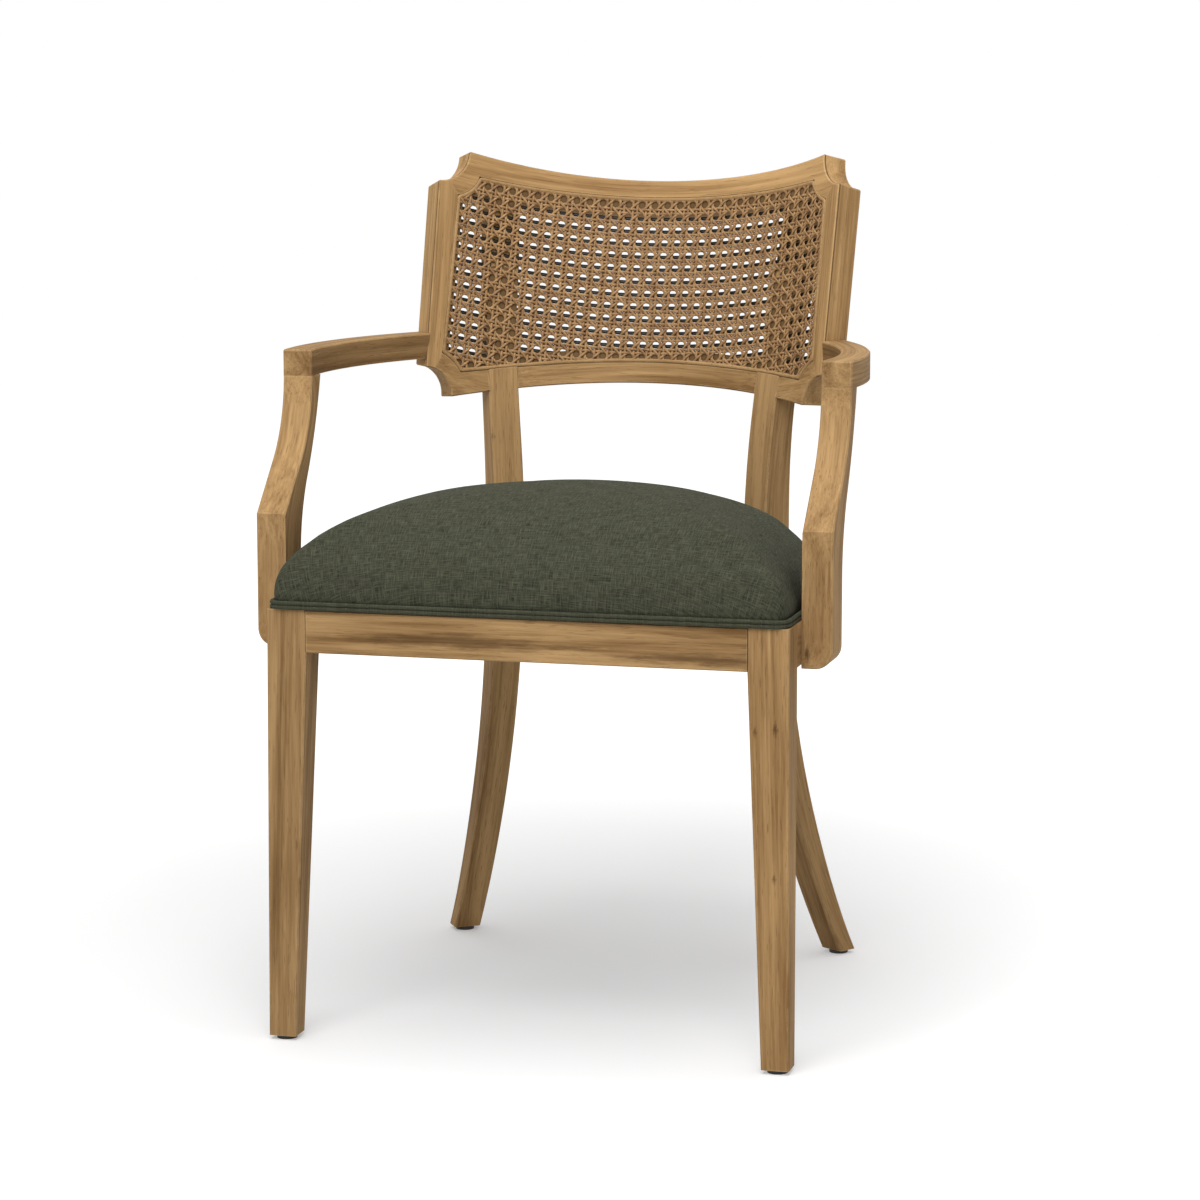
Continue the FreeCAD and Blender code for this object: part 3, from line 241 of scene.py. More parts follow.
def noise(tree, vector, scale, detail=2.0, roughness=0.5, distortion=0.0, stretch=None):
    """Noise texture on a vector, which can be stretched in each direction first."""
    place = vectors(tree, "MULTIPLY", vector, stretch) if stretch else vector
    inputs = {"Vector": place, "Scale": scale, "Detail": detail, "Roughness": roughness,
              "Distortion": distortion}
    return add(tree, "ShaderNodeTexNoise", inputs).outputs["Fac"]


def swing(tree, value, strength):
    """How far a noise value lies from its middle, times a strength."""
    return maths(tree, "MULTIPLY", maths(tree, "SUBTRACT", value, 0.5), strength)


def mixed(tree, factor, first, second):
    """Mix of two colours; each is a socket or an RGBA value."""
    made = add(tree, "ShaderNodeMix", {"Factor": factor}, data_type="RGBA")
    places = [number for number, socket in enumerate(made.inputs) if socket.type == "RGBA"]
    plug(tree, made, dict(zip(places, (first, second))))
    return [socket for socket in made.outputs if socket.type == "RGBA"][0]


print("helpers for groups ready")

# %% Grain group
PORE_STAIN = (0.12, 0.065, 0.03, 1)
KNOT_STAIN = (0.07, 0.035, 0.015, 1)

grain, grain_in, grain_out = node_group(
    "ShaderNodeTree", "weathered_grain",
    [("Place", "Vector", None), ("Light", "Color", (0.5, 0.33, 0.17, 1)),
     ("Dark", "Color", (0.25, 0.145, 0.06, 1)), ("Streaks", "Float", 1.0)],
    [("Color", "Color"), ("Roughness", "Float"), ("Height", "Float")])
grain_place = grain_in["Place"]
bands = noise(grain, grain_place, 48, 4, 0.6, 0.9, stretch=(1, 1, 0.05))
fibres = noise(grain, grain_place, 420, 3, 0.6, stretch=(1, 1, 0.022))
pores = noise(grain, grain_place, 1100, 1, stretch=(1, 1, 0.05))
patches = noise(grain, grain_place, 11, 3, 0.55, stretch=(1, 1, 0.3))
tone = maths(grain, "ADD", swing(grain, bands, grain_in["Streaks"]), swing(grain, fibres, 0.6),
             swing(grain, patches, 0.8))
stained = mixed(grain, mapped(grain, tone, -0.26, 0.24, 1.0, 0.0), grain_in["Light"], grain_in["Dark"])
pore_mask = mapped(grain, pores, 0.64, 0.72, 0.0, 0.5)
stained = mixed(grain, pore_mask, stained, PORE_STAIN)
knots = add(grain, "ShaderNodeTexVoronoi",
            {"Vector": vectors(grain, "MULTIPLY", grain_place, (1, 1, 0.42)), "Scale": 13.0}).outputs
knot_spot = mapped(grain, knots["Distance"], 0.02, 0.075, 1.0, 0.0)
knot_here = mapped(grain, knots["Color"], 0.62, 0.63)
knot_mask = maths(grain, "MULTIPLY", knot_spot, knot_here, 0.75)
plug(grain, grain_out, {
    "Color": mixed(grain, knot_mask, stained, KNOT_STAIN),
    "Roughness": mapped(grain, fibres, 0.3, 0.7, 0.72, 0.56),
    "Height": maths(grain, "SUBTRACT", fibres, maths(grain, "MULTIPLY", pore_mask, 0.8))})
print("grain group nodes:", len(grain.nodes))

# %% [markdown]
# On the real chair hands and cloths rub the edges light, and the same lighter colour paints a highlight
# along the eased edges. The joints get darker: partly dust and stain, partly painted shade. A group
# compares the true normal with one that is rounded over the edge: where they part, there is an edge.
# Ambient occlusion over a few millimetres finds the crevices, and the painted shade darkens them.

# %% Edge wear, painted edge highlight and painted crevice shade group
WORN_AND_HIGHLIGHT = (0.6, 0.4, 0.2, 1)
CREVICE_DUST_AND_SHADE = (0.045, 0.022, 0.008, 1)
EDGE_RADIUS = 0.0022
CREVICE_REACH = 0.004

edges_and_crevices, edges_and_crevices_in, edges_and_crevices_out = node_group(
    "ShaderNodeTree", "edge_wear_highlight_and_crevice_shade", [("Color", "Color", None), ("Place", "Vector", None)],
    [("Color", "Color")])
rounded = add(edges_and_crevices, "ShaderNodeBevel", {"Radius": EDGE_RADIUS}, samples=4)
surface = add(edges_and_crevices, "ShaderNodeNewGeometry")
agree = vectors(edges_and_crevices, "DOT_PRODUCT", rounded.outputs["Normal"], surface.outputs["True Normal"])
edge_mask = mapped(edges_and_crevices, agree, 0.99, 0.92)
edge_patches = mapped(edges_and_crevices, noise(edges_and_crevices, edges_and_crevices_in["Place"], 60, 3), 0.38, 0.6, 0.1, 0.6)
# Lighter edges: rubbed wear, and a painted highlight along the eased edges.
worn_and_highlit = mixed(edges_and_crevices, maths(edges_and_crevices, "MULTIPLY", edge_mask, edge_patches), edges_and_crevices_in["Color"], WORN_AND_HIGHLIGHT)
near = add(edges_and_crevices, "ShaderNodeAmbientOcclusion", {"Distance": CREVICE_REACH}, samples=6)
# Darker crevices: dust and stain, and painted shade where ambient occlusion finds them.
crevice_dust_and_shade_mask = mapped(edges_and_crevices, near.outputs["AO"], 0.4, 0.85, 0.4, 0.0)
plug(edges_and_crevices, edges_and_crevices_out, {"Color": mixed(edges_and_crevices, crevice_dust_and_shade_mask, worn_and_highlit, CREVICE_DUST_AND_SHADE)})
print("edge wear group nodes:", len(edges_and_crevices.nodes))

# %% [markdown]
# The back is a hollow cylinder that leans backwards. The cane lies just in front of a ledge in its
# frame and of the legs, and through the weave both look dark. A group finds these places by their
# distance from the cylinder's axis, and the wood gets a painted shade there.

# %% The back's own frame and the painted shade behind the cane
BACK_RADIUS = 0.265
BACK_MIDDLE = Vector((0, FRONT_FACE + 0.477, 0.681))
BACK_LEAN = math.radians(-19.7)
LEDGE_DEPTHS = (0.0010, 0.0026)  # how far the ledge lies behind the frame's face
LEDGE_LOW = -0.115
LEDGE_SHADE = (0.075, 0.042, 0.017, 1)
LEDGE_STRENGTH = 0.75

ledge, ledge_in, ledge_out = node_group(
    "ShaderNodeTree", "behind_cane", [("Place", "Vector", None)], [("Mask", "Float")])
upright = add(ledge, "ShaderNodeMapping",
              {"Vector": ledge_in["Place"], "Location": BACK_MIDDLE, "Rotation": (BACK_LEAN, 0, 0)},
              vector_type="TEXTURE")
local = add(ledge, "ShaderNodeSeparateXYZ", {0: upright.outputs["Vector"]}).outputs
from_axis = maths(ledge, "ADD", local["Y"], BACK_RADIUS)
spoke = add(ledge, "ShaderNodeCombineXYZ", {"X": local["X"], "Y": from_axis})
depth = maths(ledge, "SUBTRACT", vectors(ledge, "LENGTH", spoke.outputs[0]), BACK_RADIUS)
ledge_mask = maths(ledge, "MULTIPLY", maths(ledge, "GREATER_THAN", depth, LEDGE_DEPTHS[0]),
                   maths(ledge, "LESS_THAN", depth, LEDGE_DEPTHS[1]),
                   maths(ledge, "GREATER_THAN", local["Z"], LEDGE_LOW), LEDGE_STRENGTH)
plug(ledge, ledge_out, {"Mask": ledge_mask})
print("back radius", BACK_RADIUS)

# %% [markdown]
# A joiner saws bent legs, arms and rails so that the grain runs along them. Each member is therefore
# cut in thin slices across its run, a polynomial goes through the middles of the slices, and the
# material takes this bend out of the coordinates before it draws the grain.

# %% Grain that follows a bent member
SLICES = 15
END_SHARE = 0.08  # tenons and scooped ends are left out of the slices


def middle_line(node, axis, degree):
    """How a member bends: polynomials through the middles of slices across the grain."""
    mesh = nodes[node].data
    places = numpy.array([vertex.co for vertex in mesh.vertices])
    first, last = (places[[edge.vertices[end] for edge in mesh.edges]] for end in (0, 1))
    low, high = places[:, axis].min(), places[:, axis].max()
    margin = END_SHARE * (high - low)
    stations = numpy.linspace(low + margin, high - margin, SLICES)
    middles = []
    for station in stations:
        crossing = (first[:, axis] - station) * (last[:, axis] - station) < 0
        step = last[crossing] - first[crossing]
        share = (station - first[crossing, axis]) / step[:, axis]
        cut = first[crossing] + step * share[:, None]
        middles.append((cut.min(axis=0) + cut.max(axis=0)) / 2)
    middles = numpy.array(middles)
    others = [other for other in range(3) if other != axis]
    return {other: numpy.polyfit(stations, middles[:, other], degree).tolist() for other in others}


def straightened(tree, vector, axis, line):
    """The place with the member's bend taken out, so that the grain follows the bend."""
    parts = add(tree, "ShaderNodeSeparateXYZ", {0: vector}).outputs
    joined = {axis: parts[axis]}
    for other, factors in line.items():
        level = factors[0]
        for factor in factors[1:]:
            level = maths(tree, "ADD", maths(tree, "MULTIPLY", level, parts[axis]), factor)
        joined[other] = maths(tree, "SUBTRACT", parts[other], level)
    return add(tree, "ShaderNodeCombineXYZ", joined).outputs[0]


print("a straight member bends by:", [round(f[0], 3) for f in middle_line("front_rail", 0, 1).values()])

# %% [markdown]
# A few members carry marks that a noise pattern would not put in the right place: a dark band along
# the front rail, and small knots on a leg and a post. One group draws such a mark with a ragged edge,
# and each mark has its own place, reach and strength.

# %% Dark marks on single members
MARK = (0.07, 0.035, 0.013, 1)
FACE_ON = (1, 0, 1)  # a mark is as deep as its member
RAIL_MIDDLE = sum(corner[2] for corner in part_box("front_rail")) / 2
MARKS = {  # middle of a mark, its reach across, deep and up, and its strength
    "front_rail": [((-0.06, FRONT_FACE, RAIL_MIDDLE - 0.004), (0.2, 1, 0.011), 0.55),
                   ((0.17, FRONT_FACE, RAIL_MIDDLE - 0.011), (0.16, 1, 0.009), 0.5)],
    "front_leg_right": [((0.2335, FRONT_FACE, 0.317), (0.0042, 1, 0.011), 0.75),
                        ((0.2150, FRONT_FACE, 0.314), (0.0030, 1, 0.008), 0.6),
                        ((0.2335, FRONT_FACE, 0.181), (0.0032, 1, 0.008), 0.6)],
    "arm_post_right": [((0.2507, FRONT_FACE, 0.377), (0.0040, 1, 0.012), 0.75)],
    "rear_leg_left": [((-0.1430, FRONT_FACE, 0.531), (0.0035, 1, 0.008), 0.6)],
}

spotted, spotted_in, spotted_out = node_group(
    "ShaderNodeTree", "dark_spot",
    [("Place", "Vector", None), ("Middle", "Vector", None), ("Reach", "Vector", (0.01, 1, 0.01)),
     ("Strength", "Float", 1.0)], [("Mask", "Float")])
offset = vectors(spotted, "SUBTRACT", spotted_in["Place"], spotted_in["Middle"])
flat_share = vectors(spotted, "MULTIPLY", vectors(spotted, "DIVIDE", offset, spotted_in["Reach"]), FACE_ON)
far = vectors(spotted, "DOT_PRODUCT", vectors(spotted, "ABSOLUTE", flat_share), FACE_ON)
ragged = noise(spotted, flat_share, 1.6, 4, 0.7, stretch=(2.6, 1, 1.3))
spot_edge = maths(spotted, "ADD", far, swing(spotted, ragged, 2.2))
spot_mask = mapped(spotted, spot_edge, 0.3, 0.9, 1.0, 0.0)
plug(spotted, spotted_out, {"Mask": maths(spotted, "MULTIPLY", spot_mask, spotted_in["Strength"])})
print("members with marks:", len(MARKS))

# %% One wood material
def coat(tree, shader, colour, roughness, height, strength, distance):
    """Join a colour, a roughness and a bump to a shader."""
    bump = add(tree, "ShaderNodeBump", {"Height": height, "Strength": strength, "Distance": distance})
    plug(tree, shader, {"Base Color": colour, "Roughness": roughness, "Normal": bump.outputs["Normal"]})


def wood(name, turn, shift, streaks, light, dark, marks=(), bend=None, behind=False):
    """Weathered wood with its grain turned along a member."""
    material, tree, shader = new_material(name)
    shader.inputs["Specular IOR Level"].default_value = 0.08
    place = add(tree, "ShaderNodeTexCoord").outputs["Object"]
    run = straightened(tree, place, *bend) if bend else place
    mapping = add(tree, "ShaderNodeMapping", {"Vector": run, "Rotation": turn, "Location": shift})
    turned = mapping.outputs["Vector"]
    figure = use(tree, grain, {"Place": turned, "Light": light, "Dark": dark, "Streaks": streaks})
    colour = figure["Color"]
    for middle, reach, strength in marks:
        spot = use(tree, spotted, {"Place": place, "Middle": middle, "Reach": reach, "Strength": strength})
        colour = mixed(tree, spot["Mask"], colour, MARK)
    # Edge wear with a painted highlight, and painted shade in the crevices.
    colour = use(tree, edges_and_crevices, {"Color": colour, "Place": turned})["Color"]
    if behind:
        # Painted shade on the wood that lies behind the cane.
        colour = mixed(tree, use(tree, ledge, {"Place": place})["Mask"], colour, LEDGE_SHADE)
    coat(tree, shader, colour, figure["Roughness"], figure["Height"], 0.35, 0.0006)
    return material


print("wood material ready")

# %% [markdown]
# Every wooden node gets a material of its own. A table gives, by the start of the node's name, how
# the grain runs, how strong its streaks are, how dark the stain came out, and the degree of the line
# that the grain follows. Dowels are short and hidden, so theirs stays straight.

# %% Dress the wooden members
WOOD_LIGHT = (0.505, 0.312, 0.138, 1)
WOOD_DARK = (0.215, 0.116, 0.043, 1)
ALONG_X = (0, math.radians(90), 0)
ALONG_Y = (math.radians(90), 0, 0)
ALONG_Z = (0, 0, 0)
GRAIN_RUNS = {
    "back_top_rail": (ALONG_X, 1.0, 1.2, 4), "back_lower_rail": (ALONG_X, 1.1, 0.98, 4),
    "back_lower_end": (ALONG_X, 1.0, 0.98, 1), "back_end_stile": (ALONG_Z, 0.9, 1.13, 1),
    "front_rail": (ALONG_X, 1.6, 0.94, 1), "rear_rail": (ALONG_X, 1.2, 0.9, 1),
    "side_rail": (ALONG_Y, 1.2, 0.9, 3),
    "front_leg_left": (ALONG_Z, 1.3, 0.82, 1), "front_leg_right": (ALONG_Z, 0.9, 1.08, 1),
    "rear_leg": (ALONG_Z, 1.1, 0.98, 4), "rear_leg_right": (ALONG_Z, 1.1, 0.92, 4),
    "arm_post": (ALONG_Z, 0.9, 1.0, 4), "arm": (ALONG_Y, 1.2, 0.92, 3),
    "corner_block": (ALONG_X, 1.0, 1.0, 0),
}
PLAIN_RUN = (ALONG_Z, 1.0, 1.0, 0)
SHIFT_STEP = 0.37
SHIFT_PARTS = (1, -0.61, 0.83)


def toned(colour, tone):
    return tuple(channel * tone for channel in colour[:3]) + (1,)


def dress(node, material):
    """Give a CAD node one material."""
    nodes[node].data.materials.clear()
    nodes[node].data.materials.append(material)


wooden = [row["node"] for row in frame["record"]["subparts"] if row["material_slot"] == "wood"]
for number, node in enumerate(sorted(wooden)):
    stems = [stem for stem in GRAIN_RUNS if node.startswith(stem) and not node.endswith("dowels")]
    turn, streaks, tone, degree = GRAIN_RUNS[max(stems, key=len)] if stems else PLAIN_RUN
    axis = (ALONG_X, ALONG_Y, ALONG_Z).index(turn)
    shift = tuple(part * SHIFT_STEP * number for part in SHIFT_PARTS)
    bend = (axis, middle_line(node, axis, degree)) if degree else None
    dress(node, wood("wood_" + node, turn, shift, streaks, toned(WOOD_LIGHT, tone), toned(WOOD_DARK, tone),
                     MARKS.get(node, ()), bend, node.startswith(("back_", "rear_leg"))))
print("wooden members:", len(wooden))

# %% [markdown]
# ## The small hidden and dark pieces
# The glides are black plastic with a fine moulded texture. The plywood seat board and the steel
# fasteners are hidden, but they still get a finish of their own. A fine speckle with a matching bump
# is enough for plastic and zinc at this size.

# %% Glides, board, steel
def speckled(name, light, dark, roughness, scale, metallic=0.0):
    """Material with a fine two-tone speckle and a matching bump."""
    material, tree, shader = new_material(name)
    shader.inputs["Metallic"].default_value = metallic
    speck = noise(tree, add(tree, "ShaderNodeTexCoord").outputs["Object"], scale, 3)
    colour = mixed(tree, mapped(tree, speck, 0.35, 0.65), dark, light)
    uneven = mapped(tree, speck, 0.3, 0.7, roughness - 0.08, roughness + 0.08)
    coat(tree, shader, colour, uneven, speck, 0.2, 0.0002)
    return material


glide_plastic = speckled("glide_plastic", (0.02, 0.02, 0.021, 1), (0.008, 0.008, 0.008, 1), 0.5, 1600)
zinc = speckled("zinc", (0.6, 0.6, 0.62, 1), (0.48, 0.48, 0.5, 1), 0.35, 900, 1.0)
dress("foot_glides", glide_plastic)
for node in ("glide_nails", "seat_screws", "corner_block_screws", "arm_post_bolts"):
    dress(node, zinc)
dress("seat_deck", wood("plywood", ALONG_X, (0, 0, 0), 0.6, (0.6, 0.46, 0.29, 1), (0.45, 0.32, 0.18, 1)))
print("small pieces dressed")

# %% [markdown]
# ## The woven cane
# Cane webbing is six courses of strands: pairs of uprights and pairs of level strands that pass over
# and under each other, and two courses of diagonals that cut the corners of the openings. It could be
# a flat sheet with a pattern of holes, but then no strand would cross another. Every strand is a
# straight line on the flat sheet, so the lines are drawn flat, cut to the outline of the back's
# opening, and a Geometry Nodes tree gives them a section, a wave and the bend of the back.

# %% Outline of the back's opening
CORNER_TURN = math.radians(40)
CANE_TOP = 0.088
CANE_ARCH_CENTRE = -0.5719
CANE_ARCH_RADIUS = 0.4945
CANE_SIDE = 0.022
SCOOPS = [(0.0371, 0.101, 0.0388), (0.0362, -0.1357, 0.0435)]  # across, up, radius
TUCK = 0.0016


def in_opening(u, v, more=TUCK):
    """Whether a point of the flat sheet lies in the opening; u runs round the back, v up it."""
    angle = abs(u) / BACK_RADIUS
    across = BACK_RADIUS * math.sin(angle - CORNER_TURN)
    x = BACK_RADIUS * math.sin(angle)
    if v > CANE_TOP + more or across > CANE_SIDE + more:
        return False
    if math.hypot(x, v - CANE_ARCH_CENTRE) < CANE_ARCH_RADIUS - more:
        return False
    return all(math.hypot(across - a, v - b) > radius - more for a, b, radius in SCOOPS)


def cut_to_opening(start, step, count):
    """Runs of a straight line that lie in the opening, as pairs of end points."""
    runs = []
    inside = None
    for number in range(count + 1):
        point = (start[0] + step[0] * number, start[1] + step[1] * number)
        if number < count and in_opening(*point):
            inside = [inside[0], point] if inside else [point, point]
        elif inside:
            runs.append(inside)
            inside = None
    return [run for run in runs if run[0] != run[1]]


print("opening holds the middle:", in_opening(0, 0), "and not the corner:", in_opening(0.2, 0.087))

# %% [markdown]
# Seen from in front, the gaps of real webbing are filled by the rear sides of its strands, and the
# lower half of each opening lies in shade. Three more courses lie behind the sheet for that: one upright
# and one level strand behind each pair, and a dark level bar behind each row of openings. The bar is
# no cane: it is a painted shadow in the lower half of each opening.

# %% Lines of the courses
PITCH = 0.0134
FIRST_HOLE = (-0.314 * PITCH, 0.0705)
UPRIGHT_HALF = 0.0022  # half the spacing of a pair
LEVEL_HALF = 0.0020
BAR_DROP = 0.0005  # how far a dark bar lies below the middle of its openings
SHEET_HALF = 0.24
DIAGONAL_HALF = 1.5 * SHEET_HALF
FINE = 0.0007
COURSE_HALF = 60  # lines on each side of the first


def lines_mesh(name, runs):
    """Mesh of loose edges; the attribute lift says which way a strand's wave starts."""
    mesh = bpy.data.meshes.new(name)
    points = []
    lifts = []
    for run, lift in runs:
        points += [(u, 0, v) for u, v in run]
        lifts += [lift, lift]
    mesh.from_pydata(points, [(2 * k, 2 * k + 1) for k in range(len(runs))], [])
    attribute = mesh.attributes.new("lift", "FLOAT", "POINT")
    attribute.data.foreach_set("value", lifts)
    return mesh


def course(first, offsets, direction):
    """Runs of one course: parallel lines at the pitch, each with its offset and lift."""
    runs = []
    count = int(2 * SHEET_HALF / FINE * 1.5)
    for number in range(-COURSE_HALF, COURSE_HALF + 1):
        for offset, lift in offsets:
            where = first + PITCH * number + offset
            if direction == "up":
                start, step = (where, -SHEET_HALF), (0, FINE)
            elif direction == "level":
                start, step = (-SHEET_HALF, where), (FINE, 0)
            else:
                slope = 1 if direction == "rising" else -1
                start, step = (-DIAGONAL_HALF, slope * (-DIAGONAL_HALF - where)), (FINE, slope * FINE)
            runs += [(run, lift) for run in cut_to_opening(start, step, count)]
    return runs


between_u = FIRST_HOLE[0] + PITCH / 2
between_v = FIRST_HOLE[1] + PITCH / 2
courses = {
    "cane_uprights": course(between_u, [(-UPRIGHT_HALF, 1.0), (UPRIGHT_HALF, -1.0)], "up"),
    "cane_levels": course(between_v, [(-LEVEL_HALF, 1.0), (LEVEL_HALF, -1.0)], "level"),
    "cane_rising": course(FIRST_HOLE[0] - FIRST_HOLE[1] + PITCH / 2, [(0, 1.0)], "rising"),
    "cane_falling": course(FIRST_HOLE[0] + FIRST_HOLE[1] + PITCH / 2, [(0, -1.0)], "falling"),
    "cane_rear_uprights": course(between_u, [(0, 0.0)], "up"),
    "cane_rear_levels": course(between_v, [(0, 0.0)], "level"),
    # The dark bars are a painted shadow in the lower half of each opening.
    "cane_hole_shadow_bars": course(between_v, [(PITCH / 2 - BAR_DROP, 0.0)], "level"),
}
print("strands:", {name: len(runs) for name, runs in courses.items()})

# %% [markdown]
# The tree works on the flat sheet first: each line becomes a curve with a wave in it, and a flat oval
# is swept along it. Only then is the whole sheet bent round the back and leaned, so that one formula
# bends strands, wave and section together. The geometry passes from node to node, and a helper adds
# one such node at a time.

# %% Strand tree: a wave and a section
def then(tree, geometry, kind, inputs=None, **settings):
    """Node that takes a geometry in its first input: the geometry that it hands on."""
    return add(tree, kind, {0: geometry, **(inputs or {})}, **settings).outputs[0]


strands, strand_in, strands_out = node_group("GeometryNodeTree", "cane_strands", [
    ("Geometry", "Geometry", None), ("Width", "Float", 0.0028), ("Thickness", "Float", 0.0010),
    ("Depth", "Float", 0.0009), ("Wave height", "Float", 0.0007), ("Wave length", "Float", PITCH),
    ("Wave along", "Vector", (0, 0, 1)), ("Wave phase", "Float", 0.0), ("Step", "Float", 0.0022),
    ("Radius", "Float", BACK_RADIUS), ("Sides", "Int", 6), ("Material", "Material", None)],
    [("Geometry", "Geometry")])
strand = then(strands, strand_in["Geometry"], "GeometryNodeMeshToCurve")
strand = then(strands, strand, "GeometryNodeResampleCurve", {"Length": strand_in["Step"]}, mode="LENGTH")
where = add(strands, "GeometryNodeInputPosition").outputs[0]
run = vectors(strands, "DOT_PRODUCT", where, strand_in["Wave along"])
turns = maths(strands, "DIVIDE", run, strand_in["Wave length"])
turns = maths(strands, "ADD", turns, strand_in["Wave phase"])
wave = maths(strands, "SINE", maths(strands, "MULTIPLY", turns, 2 * math.pi))
lift = add(strands, "GeometryNodeInputNamedAttribute", {"Name": "lift"}, data_type="FLOAT")
wave = maths(strands, "MULTIPLY", wave, lift.outputs["Attribute"], strand_in["Wave height"])
wave = add(strands, "ShaderNodeCombineXYZ", {"Y": maths(strands, "ADD", wave, strand_in["Depth"])})
strand = then(strands, strand, "GeometryNodeSetPosition", {"Offset": wave.outputs[0]})
strand = then(strands, strand, "GeometryNodeSetCurveNormal", {"Normal": (0, 1, 0)}, mode="FREE")
circle = add(strands, "GeometryNodeCurvePrimitiveCircle", {"Resolution": strand_in["Sides"], "Radius": 0.5})
oval = add(strands, "ShaderNodeCombineXYZ", {"X": strand_in["Thickness"], "Y": strand_in["Width"], "Z": 1})
section = then(strands, circle.outputs["Curve"], "GeometryNodeTransform", {"Scale": oval.outputs[0]})
strand = then(strands, strand, "GeometryNodeCurveToMesh", {"Profile Curve": section, "Fill Caps": True})
print("strand tree nodes:", len(strands.nodes))

# %% Strand tree: the bend of the back
def end_tree(tree, geometry, tree_in, tree_out):
    """Close a tree: make instances real and give the result its material."""
    real = then(tree, geometry, "GeometryNodeRealizeInstances")
    coated = then(tree, real, "GeometryNodeSetMaterial", {"Material": tree_in["Material"]})
    plug(tree, tree_out, {"Geometry": coated})


spot = add(strands, "ShaderNodeSeparateXYZ", {0: where}).outputs
angle = maths(strands, "DIVIDE", spot["X"], strand_in["Radius"])
reach = maths(strands, "ADD", spot["Y"], strand_in["Radius"])
round_x = maths(strands, "MULTIPLY", reach, maths(strands, "SINE", angle))
round_y = maths(strands, "MULTIPLY", reach, maths(strands, "COSINE", angle))
round_y = maths(strands, "SUBTRACT", round_y, strand_in["Radius"])
bent = add(strands, "ShaderNodeCombineXYZ", {"X": round_x, "Y": round_y, "Z": spot["Z"]})
strand = then(strands, strand, "GeometryNodeStoreNamedAttribute", {"Name": "depth", "Value": spot["Y"]},
              data_type="FLOAT", domain="POINT")
strand = then(strands, strand, "GeometryNodeSetPosition", {"Position": bent.outputs[0]})
strand = then(strands, strand, "GeometryNodeTransform",
              {"Translation": BACK_MIDDLE, "Rotation": (BACK_LEAN, 0, 0)})
end_tree(strands, strand, strand_in, strands_out)
print("strand tree nodes:", len(strands.nodes))

# %% [markdown]
# Cane is split bark: smooth and tan, with thin darker flecks. Where a strand lies deep in the weave it
# is darkened by painted shade. The tree stores how deep each point lies, and the material darkens
# with that depth on the side that faces the sitter: a painted shade, brown on the strands and near
# black on the bars.

# %% Cane material
DEEP_FROM_TO = (0.0004, 0.0028)


def cane_finish(name, light, dark, recess_shade):
    material, tree, shader = new_material(name)
    shader.inputs["Specular IOR Level"].default_value = 0.35
    coords = add(tree, "ShaderNodeTexCoord").outputs
    mottle = noise(tree, coords["Object"], 160, 3)
    fine = noise(tree, coords["Object"], 900, 2)
    tint = maths(tree, "ADD", maths(tree, "MULTIPLY", mottle, 0.7), maths(tree, "MULTIPLY", fine, 0.4))
    colour = mixed(tree, mapped(tree, tint, 0.35, 0.75), dark, light)
    deep = add(tree, "ShaderNodeAttribute", attribute_name="depth")
    recess_shade_mask = mapped(tree, deep.outputs["Fac"], *DEEP_FROM_TO)
    facing_side = add(tree, "ShaderNodeSeparateXYZ", {0: coords["Normal"]})
    from_front = mapped(tree, facing_side.outputs["Y"], -0.1, 0.4, 1.0, 0.0)
    # Painted shade: deep in the weave, on the side facing the sitter, the cane is darkened.
    colour = mixed(tree, maths(tree, "MULTIPLY", recess_shade_mask, from_front), colour, recess_shade)
    plug(tree, shader, {"Base Color": colour, "Roughness": mapped(tree, fine, 0.3, 0.7, 0.42, 0.6)})
    return material


REAR_LIGHT = (0.5, 0.34, 0.18, 1)
REAR_DARK = (0.3, 0.18, 0.085, 1)
# The third colour of each material is its painted shade deep in the weave.
cane_tan = cane_finish("cane_tan", (0.5, 0.302, 0.13, 1), (0.17, 0.076, 0.026, 1), (0.075, 0.024, 0.006, 1))
cane_gap = cane_finish("cane_gap", REAR_LIGHT, REAR_DARK, (0.13, 0.045, 0.012, 1))
# cane_shade is the near-black painted shadow of the bars behind the openings.
cane_shade = cane_finish("cane_shade", REAR_LIGHT, REAR_DARK, (0.014, 0.011, 0.005, 1))
print("cane materials ready")

# %% Weave the courses
UPRIGHT_PHASE = -between_v / PITCH
LEVEL_PHASE = -between_u / PITCH + 0.5
DIAGONAL_PHASE = -FIRST_HOLE[0] / PITCH + 0.25
DIAGONAL = {"Wave along": (1, 0, 0), "Wave phase": DIAGONAL_PHASE, "Width": 0.0027, "Depth": 0.0004}
BEHIND = {"Wave height": 0.0, "Thickness": 0.0008}
COURSE_FORMS = {  # material and the inputs that differ from the tree's own
    "cane_uprights": (cane_tan, {"Wave along": (0, 0, 1), "Wave phase": UPRIGHT_PHASE}),
    "cane_levels": (cane_tan, {"Wave along": (1, 0, 0), "Wave phase": LEVEL_PHASE}),
    "cane_rising": (cane_tan, DIAGONAL),
    "cane_falling": (cane_tan, DIAGONAL),
    "cane_rear_uprights": (cane_gap, {**BEHIND, "Width": 0.0024, "Depth": 0.0029, "Step": 0.02}),
    "cane_rear_levels": (cane_gap, {**BEHIND, "Width": 0.0028, "Depth": 0.0037, "Step": 0.006}),
    "cane_hole_shadow_bars": (cane_shade, {**BEHIND, "Width": 0.0043, "Depth": 0.0037, "Step": 0.006}),
}


def grow(piece, tree, **values):
    """Run a tree on an object, with inputs given by the names of its sockets, and keep the result."""
    modifier = piece.modifiers.new(tree.name, "NODES")
    modifier.node_group = tree
    for item in tree.interface.items_tree:
        if item.in_out == "INPUT" and item.name in values:
            modifier[item.identifier] = values[item.name]
    plain_mesh(piece)


